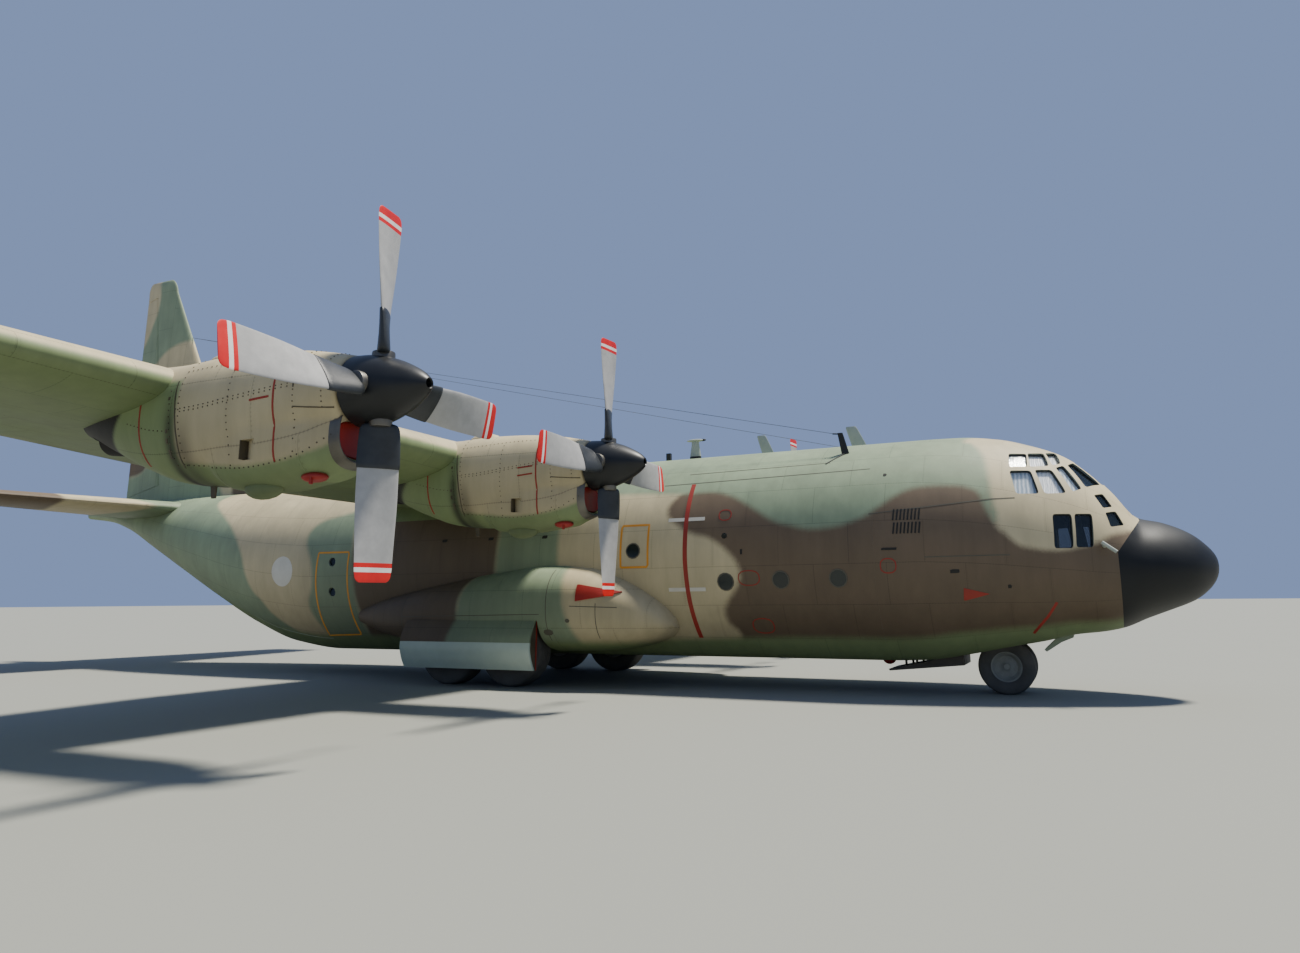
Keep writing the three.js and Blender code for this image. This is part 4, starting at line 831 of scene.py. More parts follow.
for side, label in SIDES:
    door = skin_block("troop_door_skin", 16.8, 18.0 - SEAM, 0.06)
    combine(door, cavity("door_space", 16, 19))
    edge = block("troop_door_edge", TROOP_DOOR["stations"], sorted((side * 1, side * 3)), TROOP_DOOR["zs"])
    combine(door, edge, "INTERSECT")
    for station, height in PORTS:
        combine(door, disc_bar("door_port", (station, side * 2, height), (0, 1, 0), PORT_RADIUS, 2))
    door.name = f"troop_door_shell_{label}"
    dress_shell(door, "airframe", "green_paint", f"troop_door_{label}")
    ports = []
    for station, height in PORTS:
        (s, skin_y, z), outward = body_side(station, height, side)
        ports.append(disc_bar("port_glass", (s, skin_y - side * PORT_SUNK, z), (0, 1, 0), PORT_RADIUS - 0.004,
                              0.02))
    port_glass = joined(f"troop_door_ports_{label}", ports)
    wear(port_glass, pane_glass, "airframe", "window_glass")

# Aft fuselage: the upswept tail of the body, open below for the ramp and the cargo door.
# The joint between those two leans forward as it rises, along the arc that the door's front edge swings on.
RAMP_JOINT = {"station": 20.98, "z": 1.0, "lean": 0.415, "gap": 0.03}
DOOR_LIFT = 0.6


def ramp_end(z, gap=0.0):
    return RAMP_JOINT["station"] + gap - RAMP_JOINT["lean"] * (z - RAMP_JOINT["z"])


RAMP_TOP = [[TAIL_BREAK, 1.04], [ramp_end(1.535), 1.535]]
RAMP_HALF = 1.42
DOOR_TOP = [[ramp_end(1.4), 1.4], [25.0, 3.0]]
DOOR_HALVES = (1.3, 0.74)
DOOR_PIN = {"station": 24.97, "z": 3.02, "radius": 0.04}


def ramp_block(name, gap, bottom=0.0):
    (s0, z0), (s1, z1) = RAMP_TOP
    rear = [[ramp_end(z, gap), z] for z in (z1 + gap, bottom)]
    return prism(name, [[s0 - 0.1, bottom], [s0 - 0.1, z0 + gap], *rear], -RAMP_HALF - gap, RAMP_HALF + gap)


def cargo_door_block(name, gap, lift):
    (s0, z0), (s1, z1) = DOOR_TOP
    h0, h1 = (half + gap for half in DOOR_HALVES)
    ahead = s0 - DOOR_LIFT
    front = [[ramp_end(z, RAMP_JOINT["gap"] - 3 * gap), z] for z in (0, z0 + lift)]
    side = prism(name, [*front, [s1 + gap, z1 + lift], [s1 + gap, 0]], -4, 4)
    plan = prism("door_plan", [[ahead, -h0], [s1 + gap, -h1], [s1 + gap, h1], [ahead, h0]], -1, 6, across="z")
    return combine(side, plan, "INTERSECT")


aft = skin_block("aft_skin", TAIL_BREAK, LENGTH, 0.11)
combine(aft, cavity("tail_space", TAIL_BREAK - 1, LENGTH))
combine(aft, ramp_block("ramp_opening", RUN, -1))
combine(aft, cargo_door_block("door_opening", RUN, DOOR_LIFT))
dress_shell(aft, "airframe", "green_paint", "aft_fuselage")

# Cargo ramp and cargo door: stiff sandwich panels whose lower faces carry on the belly's lines.
# The ramp hinges at the hold's rear edge, and the door hangs by a pin at its own rear edge.
ramp = skin_block("ramp_skin", TAIL_BREAK + SEAM, 21.4, 0.11)
combine(ramp, ramp_block("ramp_edge", 0), "INTERSECT")
dress_shell(ramp, "cargo_ramp", "door_paint", "cargo_ramp")
door = skin_block("cargo_door_skin", 20.6, 25.2, 0.11)
combine(door, cargo_door_block("cargo_door_edge", 0, 0), "INTERSECT")
pin_length = 2 * (DOOR_HALVES[1] + RUN - 2 * SEAM)
combine(door, disc_bar("door_pin", (DOOR_PIN["station"], 0, DOOR_PIN["z"]), (0, 1, 0), DOOR_PIN["radius"],
                       pin_length),
        "UNION")
dress_shell(door, "cargo_door", "door_paint", "cargo_door")

# Wing: one straight centre box that carries the inner engines and two tapered outer panels, of riveted
# aluminium. Flaps run on tracks behind the box, and the ailerons turn on hinges outboard of them.
SPAN = 40.41
CENTRE_WING_HALF = 5.59
FLAP_SPANS = {"inner": (2.2, 5.5), "outer": (5.66, 12.72)}
AILERON_SPAN = (12.84, 19.6)
FLAP_FROM, AILERON_HINGE = 0.73, 0.75
BEHIND = 9.0
OVERRUN = 0.4
PIN = 0.022
CHORD_STEPS = 30
NOSE_STEPS = 12
WING = {
    "root": {"edge": (11.27, CENTRE_WING_HALF, 4.07), "chord": 4.88, "thick": 0.18, "incidence": 3.4},
    "tip": {"edge": (11.58, 19.72, 4.38), "chord": 2.56, "thick": 0.12, "incidence": 1.0},
    "camber": 0.02,
    "upright": False,
}
CENTRE_WING = {**WING, "root": {**WING["root"], "edge": (11.27, 0.0, 4.07)}, "tip": WING["root"]}


def end_point(surface, end, share, side, grow=0.0):
    """Points of an end section at shares of the chord.

    The half thickness is the usual polynomial for a four-digit section, the camber line is a parabola, and
    the whole is turned by the incidence about the leading edge."""
    share = np.asarray(share, float)
    half = 5 * (0.2969 * np.sqrt(share) - 0.126 * share - 0.3516 * share**2 + 0.2843 * share**3
                - 0.1015 * share**4)
    chord = end["chord"]
    lift = 4 * surface["camber"] * share * (1 - share) * chord + side * (chord * end["thick"] * half + grow)
    back = share * chord + grow * (2 * share - 1)
    pitch = radians(end["incidence"])
    station, y, z = end["edge"]
    if surface["upright"]:
        return np.stack([station + back, y + lift, z + 0 * back], axis=-1)
    aft, down = back * cos(pitch) + lift * sin(pitch), back * sin(pitch) - lift * cos(pitch)
    return np.stack([station + aft, y + 0 * aft, z - down], axis=-1)


def surface_point(surface, along, share, side, grow=0.0):
    """Points anywhere on a surface, straight between its root and its tip."""
    root, tip = (end_point(surface, surface[end], share, side, grow) for end in ("root", "tip"))
    along = np.asarray(along, float)[..., None, None] if np.ndim(along) else along
    return root + (tip - root) * along


def surface_rings(surface, alongs, grow=0.0, steps=CHORD_STEPS):
    """Closed sections from trailing edge over the top to leading edge and back, closer at both edges."""
    share = (1 - np.cos(np.linspace(pi, 0, steps))) / 2
    upper = surface_point(surface, np.asarray(alongs, float), share, 1, grow)
    lower = surface_point(surface, np.asarray(alongs, float), share[-2:0:-1], -1, grow)
    tail = surface_point(surface, np.asarray(alongs, float), share[:1], -1, grow)
    return np.concatenate([upper, lower, tail], axis=1)


def span_share(surface, value, axis=1):
    root, tip = surface["root"]["edge"][axis], surface["tip"]["edge"][axis]
    return (value - root) / (tip - root)


def rounded_end(ring, out, drawn_in=0.35, count=7):
    """Rings that round off a tip: across, the section shrinks by the cosine of a quarter turn and, along the
    chord, by a share of what is left, while it moves out by the sine."""
    turn = np.linspace(0, pi / 2, count)[1:, None, None]
    middle = ring.mean(axis=0)
    chordwise = np.array([1, 0, 0])
    along = (ring - middle) * chordwise
    across = (ring - middle) - along
    shrink = np.maximum(np.cos(turn), 0.06)
    return middle + along * (1 - drawn_in * (1 - shrink)) + across * shrink + np.sin(turn) * np.asarray(out)


def real_loft(name, rings, smooth=35):
    """A closed skin over rings of real [station, y, z] points."""
    rings = np.asarray(rings)
    return loft(name, place(rings[..., 0], rings[..., 1], rings[..., 2]), smooth)


def bay(name, surface, span, share, ahead, axis=1):
    """The space behind a line at a share of the chord, its ends square to the line; it starts ahead of it."""
    a, b = (surface_point(surface, span_share(surface, value, axis), [share], 0)[0, 0] for value in span)
    slope = (b - a) / (span[1] - span[0])
    corner = [(a, span[0], -ahead[0]), (a, span[0], BEHIND), (b, span[1], BEHIND), (b, span[1], -ahead[1])]
    outline = [[station + back, value - slope * back] for station, value, back in corner]
    if axis == 2:
        return prism(name, outline, -1, 1)
    return prism(name, outline, 0, 8, across="z")


def nose_radii(surface, span, hinge, axis=1):
    ends = [span_share(surface, value, axis) for value in span]
    return [np.linalg.norm(surface_point(surface, t, [hinge], 1) - surface_point(surface, t, [hinge], 0))
            for t in ends]


def hinge_bay(name, surface, span, hinge, axis=1):
    return bay(name, surface, span, hinge,
               [radius + RUN for radius in nose_radii(surface, span, hinge, axis)], axis)


def hinged(name, surface, span, hinge, axis=1, spacing=0.3):
    """A hinged surface: its nose is half round about the hinge line, and a pin stands out at each end."""
    values = np.linspace(span[0] - OVERRUN, span[1] + OVERRUN, 2 + int((span[1] - span[0]) / spacing))
    rings = []
    for along in span_share(surface, values, axis):
        centre_at = surface_point(surface, along, [hinge], 0)[0]
        top = surface_point(surface, along, [hinge], 1)[0] - centre_at
        ahead = surface_point(surface, along, [0.0], 0)[0] - centre_at
        ahead *= np.linalg.norm(top) / np.linalg.norm(ahead)
        turn = np.linspace(0, pi, NOSE_STEPS + 1)[:, None]
        nose = centre_at + top * np.cos(turn) + ahead * np.sin(turn)
        tail = np.concatenate([surface_point(surface, along, [1.0], side) for side in (1, -1)])
        share = np.linspace(0, 1, 9)[1:-1, None]
        over = tail[:1] + (nose[:1] - tail[:1]) * share
        under = nose[-1:] + (tail[1:] - nose[-1:]) * share
        rings.append(np.concatenate([tail[:1], over, nose, under, tail[1:]]))
    piece = real_loft(name, rings)
    combine(piece, bay("within", surface, (span[0] + RUN, span[1] - RUN), hinge, (OVERRUN, OVERRUN), axis),
            "INTERSECT")
    ends = [surface_point(surface, span_share(surface, value, axis), [hinge], 0)[0]
            for value in (span[0] + SEAM, span[1] - SEAM)]
    pin = disc_bar("pin", (ends[0] + ends[1]) / 2, ends[1] - ends[0], PIN, np.linalg.norm(ends[1] - ends[0]),
                   12)
    return combine(piece, pin, "UNION")


# Camouflage of the wing's upper side: outlines as station and distance out, the same on both sides
BROWN_WING = [
    [(12.4, 7.4), (13.6, 6.9), (15.0, 6.3), (17.5, 7.0), (17.5, 9.6), (15.2, 9.9), (13.8, 9.2), (12.6, 8.8)],
    [(12.6, 14.6), (13.6, 15.1), (16.0, 14.5), (16.0, 18.4), (14.2, 18.2), (12.8, 17.0), (12.3, 15.6)],
    [(13.9, 1.4), (15.0, 1.9), (17.5, 1.5), (17.5, 4.4), (15.4, 4.1), (14.2, 3.5)],
]
GREEN_WING = [
    [(12.0, 5.9), (12.6, 5.3), (14.0, 5.0), (13.6, 3.2), (12.4, 2.4), (11.6, -2.0), (11.2, -2.0),
     (11.6, 2.6)],
    [(12.0, 9.9), (13.6, 9.8), (15.4, 10.6), (17.0, 10.4), (17.0, 13.2), (14.8, 12.9), (13.4, 13.6),
     (12.1, 12.4)],
    [(10.0, 16.4), (12.2, 16.8), (12.9, 17.9), (14.3, 18.9), (14.2, 21.0), (10.0, 21.0)],
]
UNDER_FROM, UNDER_FRONT = 0.02, 0.09  # below the section's middle line, and how much higher at its front edge
# How far back the underside line rises, and the strength of the painted shade below that line
FRONT_REACH, UNDERSIDE_SHADE = 0.6, 0.26


def paint_surface(piece, surface, brown, green, under=True):
    """Sprays a surface by plan: the underside coat is where a point lies below the section's middle line, and
    a painted shade darkens every point below that line.
    """
    station, y, z = real_points(piece)
    along = np.clip(span_share(surface, np.abs(y)), 0, 1)
    root, tip = surface["root"], surface["tip"]

    def between(key):
        return key(root) + (key(tip) - key(root)) * along

    edge, height = between(lambda end: end["edge"][0]), between(lambda end: end["edge"][2])
    pitch = np.radians(between(lambda end: end["incidence"]))
    middle = height - (station - edge) * np.tan(pitch)
    plan = np.stack([station, np.abs(y)], axis=-1)
    front = np.clip(1 - (station - edge) / FRONT_REACH, 0, 1)
    line = middle - UNDER_FROM + UNDER_FRONT * front
    below = 2 * (line - z) if under else np.full(len(z), -DEPTH_LIMIT)
    spray(piece, plan, brown, green, below, np.where(z < line, UNDERSIDE_SHADE, 0.0), (y, station))


def reflected(piece, name):
    """A copy of a piece on the other side of the aircraft, with its faces turned outwards again."""
    mesh = piece.data.copy()
    co = np.empty(len(mesh.vertices) * 3)
    mesh.vertices.foreach_get("co", co)
    co[1::3] *= -1
    mesh.vertices.foreach_set("co", co)
    mesh.flip_normals()
    made = bpy.data.objects.new(name, mesh)
    bpy.context.scene.collection.objects.link(made)
    return made


def centre_section(name, grow=0.0, half=CENTRE_WING_HALF, count=45):
    ring = surface_rings(CENTRE_WING, [1.0], grow)[0]
    values = np.linspace(-half, half, count)
    rings = np.repeat(ring[None], count, axis=0)
    rings[..., 1] = values[:, None]
    return real_loft(name, rings)


centre_wing = centre_section("centre_wing_box")
crown = skin_block("crown_skin", 10.9, 16.6, 0.11)
combine(crown, saddle_block("saddle_edge", 0), "INTERSECT")
combine(centre_wing, crown, "UNION")
inner_span, outer_span = ((low - RUN, high + RUN) for low, high in FLAP_SPANS.values())
inner_bay = bay("inner_flap_bay", CENTRE_WING, inner_span, FLAP_FROM, (SEAM, SEAM))
for cutter in (inner_bay, reflected(inner_bay, "inner_flap_bay_right")):
    combine(centre_wing, cutter)
paint_surface(centre_wing, CENTRE_WING, BROWN_WING, GREEN_WING)
wear(centre_wing, enamel, "airframe", "sand_paint", "centre_wing")

outer_alongs = np.linspace(span_share(WING, CENTRE_WING_HALF + SEAM), 1, 56)
outer_rings = surface_rings(WING, outer_alongs)
tip_out = (0.0, SPAN / 2 - WING["tip"]["edge"][1], 0.015)
outer_rings = np.concatenate([outer_rings, rounded_end(outer_rings[-1], tip_out)])
outer_wing = real_loft("outer_wing_left", outer_rings)
combine(outer_wing, bay("outer_flap_bay", WING, outer_span, FLAP_FROM, (SEAM, SEAM)))
combine(outer_wing, hinge_bay("aileron_bay", WING, AILERON_SPAN, AILERON_HINGE))
paint_surface(outer_wing, WING, BROWN_WING, GREEN_WING)


def flap(name, surface, span):
    values = np.linspace(surface["root"]["edge"][1], surface["tip"]["edge"][1], 60)
    piece = real_loft(name, surface_rings(surface, span_share(surface, values)))
    combine(piece, bay("flap_edge", surface, span, FLAP_FROM, (0, 0)), "INTERSECT")
    paint_surface(piece, surface, BROWN_WING, GREEN_WING)
    return piece


def pair(piece, material, bodies, slot, node_name):
    """Finishes a port piece and its reflection; bodies is both's body, or a pattern with the side's name."""
    stem = piece.name.removesuffix("_left")
    other = reflected(piece, stem + "_right")
    for made, side in ((piece, "left"), (other, "right")):
        wear(made, material, bodies.format(side=side), slot, *([f"{node_name}_{side}"] if node_name else []))
    piece.name = stem + "_left"
    return other


pair(outer_wing, enamel, "airframe", "green_paint", "wing")
pair(flap("inner_flap_skin_left", CENTRE_WING, FLAP_SPANS["inner"]), enamel, "inner_flap_{side}",
     "brown_paint", "inner_flap")
pair(flap("outer_flap_skin_left", WING, FLAP_SPANS["outer"]), enamel, "outer_flap_{side}", "brown_paint",
     "outer_flap")
aileron = hinged("aileron_skin_left", WING, AILERON_SPAN, AILERON_HINGE)
paint_surface(aileron, WING, BROWN_WING, GREEN_WING)
pair(aileron, enamel, "aileron_{side}", "green_paint", "aileron")

# Fin and rudder: a tall straight-tapered fin with a dorsal fillet, faired into the top of the tail.
# Both are riveted aluminium, and the rudder turns on pins in the fin's rear.
FIN = {
    "root": {"edge": (22.93, 0.0, 4.2), "chord": 5.25, "thick": 0.13, "incidence": 0.0},
    "tip": {"edge": (26.7, 0.0, 11.2), "chord": 1.36, "thick": 0.12, "incidence": 0.0},
    "camber": 0.0,
    "upright": True,
}
HEIGHT = 11.66
RUDDER_SPAN, RUDDER_HINGE = (5.06, 11.12), 0.68
# Dorsal fillet: station, height over the crown, half width at the foot
DORSAL = np.array([[19.9, 0.03, 0.05], [21.6, 0.28, 0.11], [23.0, 0.85, 0.2], [24.6, 2.45, 0.26]])
BROWN_FIN = [
    [(28.9, 5.45), (28.06, 5.45), (27.56, 5.51), (27.26, 5.67), (26.9, 6.4), (27.2, 7.4), (28.9, 7.4)],
    [(20.0, 4.2), (22.0, 4.9), (23.2, 5.6), (23.3, 4.6), (22.8, 3.8), (20.0, 3.8)],
]
GREEN_FIN = [
    [(25.0, 9.6), (25.92, 9.49), (26.44, 9.37), (26.81, 9.23), (27.22, 8.96), (27.9, 8.4), (28.6, 8.0),
     (28.7, 8.9), (28.07, 9.57), (27.81, 9.94), (27.62, 10.34), (27.49, 10.57), (27.39, 11.05), (27.3, 12.2),
     (24.8, 12.2)],
    [(23.85, 3.9), (23.8, 4.9), (24.6, 6.2), (26.2, 6.8), (27.0, 5.9), (27.26, 5.67), (27.56, 5.51),
     (28.06, 5.45), (28.9, 5.4), (28.9, 3.9)],
]


def paint_fin(piece):
    """Sprays the fin by its side view; it has no underside coat, and no soot or painted shade."""
    station, y, z = real_points(piece)
    plan = np.stack([station, z], axis=-1)
    spray(piece, plan, BROWN_FIN, GREEN_FIN, np.full(len(z), -DEPTH_LIMIT), 0 * z, (z, station))


def grown_skin(name, low, high):
    return skin_block(name, low, high, 0.11, -SEAM)


fin_rings = surface_rings(FIN, np.linspace(0, 1, 40))
fin_out = (0.08, 0.0, HEIGHT - FIN["tip"]["edge"][2])


def rounded_top(ring, out, count=7):
    """Rings that round off the fin's top: width goes by a cosine, chord down two fifths, height by a sine."""
    turn = np.linspace(0, pi / 2, count)[1:, None, None]
    middle = ring.mean(axis=0)
    shrink = np.maximum(np.cos(turn), 0.06)
    scale = np.concatenate([1 - 0.4 * (1 - shrink), shrink, np.ones_like(shrink)], axis=-1)
    return middle + (ring - middle) * scale + np.sin(turn) * np.asarray(out)


fin = real_loft("fin_skin", np.concatenate([fin_rings, rounded_top(fin_rings[-1], fin_out)]))
dorsal_at = np.linspace(DORSAL[0, 0], DORSAL[-1, 0], 24)
dorsal_rings = []
for station, (rise, half) in zip(dorsal_at, through(DORSAL, dorsal_at)):
    turn = np.linspace(0, pi, 13)
    ys = half * np.cos(turn)
    zs = 4.35 + (0.27 + rise) * np.sin(turn) ** 0.7
    dorsal_rings.append(np.stack([0 * ys + station, ys, zs], axis=-1))
combine(fin, real_loft("dorsal", dorsal_rings), "UNION")
combine(fin, hinge_bay("rudder_bay", FIN, RUDDER_SPAN, RUDDER_HINGE, 2))
combine(fin, grown_skin("tail_skin", 19, 29.79))
paint_fin(fin)
wear(fin, enamel, "airframe", "sand_paint", "fin")
rudder = hinged("rudder_skin", FIN, RUDDER_SPAN, RUDDER_HINGE, 2)
paint_fin(rudder)
wear(rudder, enamel, "rudder", "sand_paint", "rudder")

# Tailplane and elevators: a level tailplane in two halves on the tail's sides, elevators hinged behind it.
# They are built as the wing is, of riveted aluminium.
TAILPLANE = {
    "root": {"edge": (24.2, 0.3, 4.25), "chord": 4.16, "thick": 0.12, "incidence": 0.0},
    "tip": {"edge": (25.49, 7.7, 4.25), "chord": 2.14, "thick": 0.1, "incidence": 0.0},
    "camber": 0.0,
    "upright": False,
}
TAIL_HALF_SPAN = 8.03
ELEVATOR_SPAN, ELEVATOR_HINGE = (0.98, 7.62), 0.64
BROWN_TAIL = [[(23.5, 3.4), (25.0, 3.9), (26.6, 3.5), (28.6, 4.2), (28.6, 6.2), (26.9, 5.9), (25.2, 6.4),
               (24.4, 5.2)]]
GREEN_TAIL = [[(23.5, 0.0), (24.6, 1.9), (25.8, 2.3), (27.2, 1.7), (28.6, 2.0), (28.6, -0.5), (23.5, -0.5)]]

tail_rings = surface_rings(TAILPLANE, np.linspace(0, 1, 34))
tail_out = (0.0, TAIL_HALF_SPAN - TAILPLANE["tip"]["edge"][1], 0.0)
tailplane = real_loft("tailplane_skin_left",
                      np.concatenate([tail_rings, rounded_end(tail_rings[-1], tail_out)]))
combine(tailplane, hinge_bay("elevator_bay", TAILPLANE, ELEVATOR_SPAN, ELEVATOR_HINGE))
combine(tailplane, grown_skin("tail_side", 22, 29.79))
paint_surface(tailplane, TAILPLANE, BROWN_TAIL, GREEN_TAIL, under=False)
pair(tailplane, enamel, "airframe", "brown_paint", "tailplane")
elevator = hinged("elevator_skin_left", TAILPLANE, ELEVATOR_SPAN, ELEVATOR_HINGE)
paint_surface(elevator, TAILPLANE, BROWN_TAIL, GREEN_TAIL, under=False)
pair(elevator, enamel, "elevators", "brown_paint", "elevator")

# Nacelles: sheet cowlings over each engine, with the oil cooler's scoop faired in below and the jet pipe
# behind. The cowl panels close with rows of flush fasteners. The nacelle's rear fairs into the wing on both
# sides.
ENGINES = (
    ("outer_left", 10.31, 3.9, 9.0),
    ("inner_left", 5.16, 3.77, -6.0),
    ("inner_right", -5.16, 3.77, -6.0),
    ("outer_right", -10.31, 3.9, 9.0),
)
# Cowling and scoop sections, from the prop shaft: station, half width, top, bottom
COWL = np.array([
    [8.95, 0.41, 0.4, -0.44],
    [9.22, 0.47, 0.46, -0.52],
    [9.65, 0.54, 0.54, -0.66],
    [10.3, 0.58, 0.6, -0.82],
    [10.9, 0.6, 0.62, -0.92],
    [11.5, 0.6, 0.6, -0.86],
    [12.1, 0.56, 0.62, -0.68],
    [12.7, 0.46, 0.6, -0.44],
    [13.4, 0.26, 0.3, -0.16],
])
SCOOP = np.array([
    [8.95, 0.33, -0.2, -0.82],
    [9.17, 0.39, -0.2, -0.9],
    [9.3, 0.44, -0.2, -0.95],
    [9.65, 0.49, -0.18, -0.99],
    [10.0, 0.51, -0.15, -1.03],
    [10.4, 0.48, -0.25, -1.02],
    [10.98, 0.38, -0.4, -0.9],
])
INTAKE = np.array([[8.85, 0.36, -0.3, -0.76], [9.06, 0.33, -0.34, -0.75], [9.5, 0.26, -0.54, -0.8]])
LIP_REAR = 9.05
LIP_TURN = (-0.8, 0.8 - pi)  # from one side round below to the other
RING_POWER = 0.85  # of the cosine and the sine round a section; 1 is an ellipse
SQUARENESS = 2 / RING_POWER  # of the two offsets in the same section
SCOOP_FADE = 0.3  # how far on either side of its last section the scoop fades out
BLEND = 0.14  # width of the fillet between cowl and scoop
COWL_SIDES = 72
TAIL_PIPE = {"to": 13.05, "drop": -0.2, "radius": 0.21, "bore": 0.17, "depth": 0.6}


def pod_reach(angle, half, top, bottom, middle):
    """How far a pod's section reaches from a middle height, at angles up from the side: the furthest of many
    trial distances that is still inside, where the two offsets to the power of the squareness add up to
    one."""
    trial = np.linspace(0, 1.4, 561)
    x, z = (trial * c[..., None] for c in (np.cos(angle), np.sin(angle)))
    inside = np.abs(x / half[..., None]) ** SQUARENESS
    upwards = (z + (middle - (top + bottom) / 2)[..., None]) / ((top - bottom) / 2)[..., None]
    inside = inside + np.abs(upwards) ** SQUARENESS
    return np.where(inside <= 1, trial, 0).max(axis=-1)


def pod_point(engine, station, angle, lift=0.0):
    """A point of the cowling: the larger of the cowl's and the scoop's reach, with a round fillet between."""
    y, z = engine[1:3]
    station, angle = np.broadcast_arrays(np.asarray(station, float), np.asarray(angle, float))
    cowl = np.moveaxis(through(COWL, station), -1, 0)
    scoop = np.moveaxis(through(SCOOP, station), -1, 0)
    middle = (cowl[1] + cowl[2]) / 2
    reach, chin = pod_reach(angle, *cowl, middle), pod_reach(angle, *scoop, middle)
    fade = np.clip((SCOOP[-1, 0] + SCOOP_FADE - station) / (2 * SCOOP_FADE), 0, 1)
    chin = chin * np.where(station > SCOOP[-1, 0] - SCOOP_FADE, fade, 1)
    overlap = np.maximum(BLEND - np.abs(reach - chin), 0) / BLEND
    reach = np.maximum(reach, chin) + overlap**2 * BLEND / 4 * (chin > 0) + lift
    return np.stack([station, y + reach * np.cos(angle), z + middle + reach * np.sin(angle)], axis=-1)


def pod_ring(engine, row, sides=48, grow=0.0):
    """One rounded section, squarer than an ellipse: both offsets are powers of the cosine and the sine."""
    y, z = engine[1:3]
    at, half, top, bottom = row
    turn = full_turn(sides)
    c, s = np.cos(turn), np.sin(turn)
    across = np.sign(c) * np.abs(c) ** RING_POWER * (half + grow)
    rise = np.sign(s) * np.abs(s) ** RING_POWER * ((top - bottom) / 2 + grow)
    return np.stack([0 * turn + at, y + across, z + (top + bottom) / 2 + rise], axis=-1)


# Lower edge of the sand: station, height below the shaft
SAND_EDGE = np.array([[8.9, -0.5], [9.02, -0.6], [9.34, -0.71], [9.7, -0.77], [10.1, -0.79], [10.74, -0.73],
                      [11.3, -0.66]])
REAR_JOINT = 11.17
SOOT_LINE = ([0.0, 0.04, 0.2, 0.4, 0.7], [12.16, 12.18, 12.33, 12.49, 12.7])  # depth below the shaft, station
REAR_SAND = 0.28  # above this height the sand runs on to the wing
POD_GIRTH = 0.6  # metres round the cowling for each radian
# Oil that runs round the rear joints: strength, station, spread along, and how deep below the shaft it starts
OIL_STREAKS = ((0.55, 11.26, 0.09, -0.2), (0.4, 11.05, 0.14, 0.1))
STREAK_GROWTH = 0.4
# Oil on the keel: strength, depth that it starts at, how far down it grows, and the station ahead of it
KEEL_OIL = (0.3, 0.75, 0.3, 9.4)
# Darkening of the cowling towards its bottom: strength, depth that it starts at, and how far down it grows
COWL_DARKENING = ((0.12, -0.5, 0.4), (0.12, 0.0, 0.6))
EXHAUST_SOOT = 0.97


def paint_pod(piece, engine):
    """Sand over the cowling, and the pale underside below its lower joint and on all of the rear fairing."""
    y, z = engine[1:3]
    station, across, height = real_points(piece)
    drop = z - height
    low = drop + through(SAND_EDGE, station)[:, 0]
    under = np.maximum(low, np.minimum(station - REAR_JOINT, drop + REAR_SAND))
    girth = np.arctan2(across - y, height - z) * POD_GIRTH
    rear = np.clip((station - np.interp(drop, *SOOT_LINE)) / 0.1, 0, 1) * (drop > -0.1)
    stains_and_darkening = EXHAUST_SOOT * rear
    for strength, at, spread_along, start in OIL_STREAKS:
        streak = np.exp(-(((station - at) / spread_along) ** 2))
        stains_and_darkening = stains_and_darkening + strength * streak * np.clip((drop - start) / STREAK_GROWTH, 0, 1)
    strength, start, growth, ahead = KEEL_OIL
    stains_and_darkening = stains_and_darkening + strength * np.clip((drop - start) / growth, 0, 1) * (station > ahead)
    # The cowling is darker towards its bottom
    for strength, start, growth in COWL_DARKENING:
        stains_and_darkening = stains_and_darkening + strength * np.clip((drop - start) / growth, 0, 1)
    spray(piece, np.stack([station, girth], axis=-1), [], [], 2 * under, np.clip(stains_and_darkening, 0, 1), (station, girth))


def tunnel_cut(piece):
    """Cuts the wing's section, grown by a seam, out of a piece."""
    combine(piece, centre_section("wing_in_centre", SEAM))
    rings = surface_rings(WING, np.linspace(0, 1, 9), SEAM)
    combine(piece, real_loft("wing_in_panel", rings))
    return piece


bare_steel = worn_paint("oil_stained_bare_steel", "#3E3A35", "#8B8880", 0.42, 40, metallic=0.85)
# The jet pipes' near black is their heat tint and soot, and also a painted shade under the wing
scorched_and_shaded_steel = worn_paint("heat_tinted_exhaust_steel_with_painted_shade", "#0B0A09", "#241E1A", 0.75, 30, metallic=0.1)
cover_red = worn_paint("red_cover_vinyl", "#7E120D", "#B32A20", 0.5, 50)
stripe_red = worn_paint("stencil_red_paint", "#7E2015", "#A93424", 0.6, 50)
fastener_dark = worn_paint("worn_fastener_steel", "#3A3428", "#6F6653", 0.5, 80, metallic=0.4)


def stripe(name, path, outward, width, lift=0.004):
    """A thin painted line: a flat bar along a path on a surface, across the path and the way out."""
    path, outward = np.asarray(path, float), unit(np.asarray(outward, float))
    run = np.gradient(path, axis=0)
    side = np.cross(outward, run)
    side *= width / 2 / np.linalg.norm(side, axis=-1, keepdims=True)
    up = outward * lift
    corners = np.stack([path + side + up, path - side + up, path - side - up, path + side - up], axis=1)
    return real_loft(name, corners, 30)


def pod_line(name, engine, stations, angles, width):
    """A line on a cowling through stations and angles, which are spread evenly along it."""
    path = pod_point(engine, stations, angles)
    out = path - pod_point(engine, stations, angles, -0.1)
    return stripe(name, path, out, width)


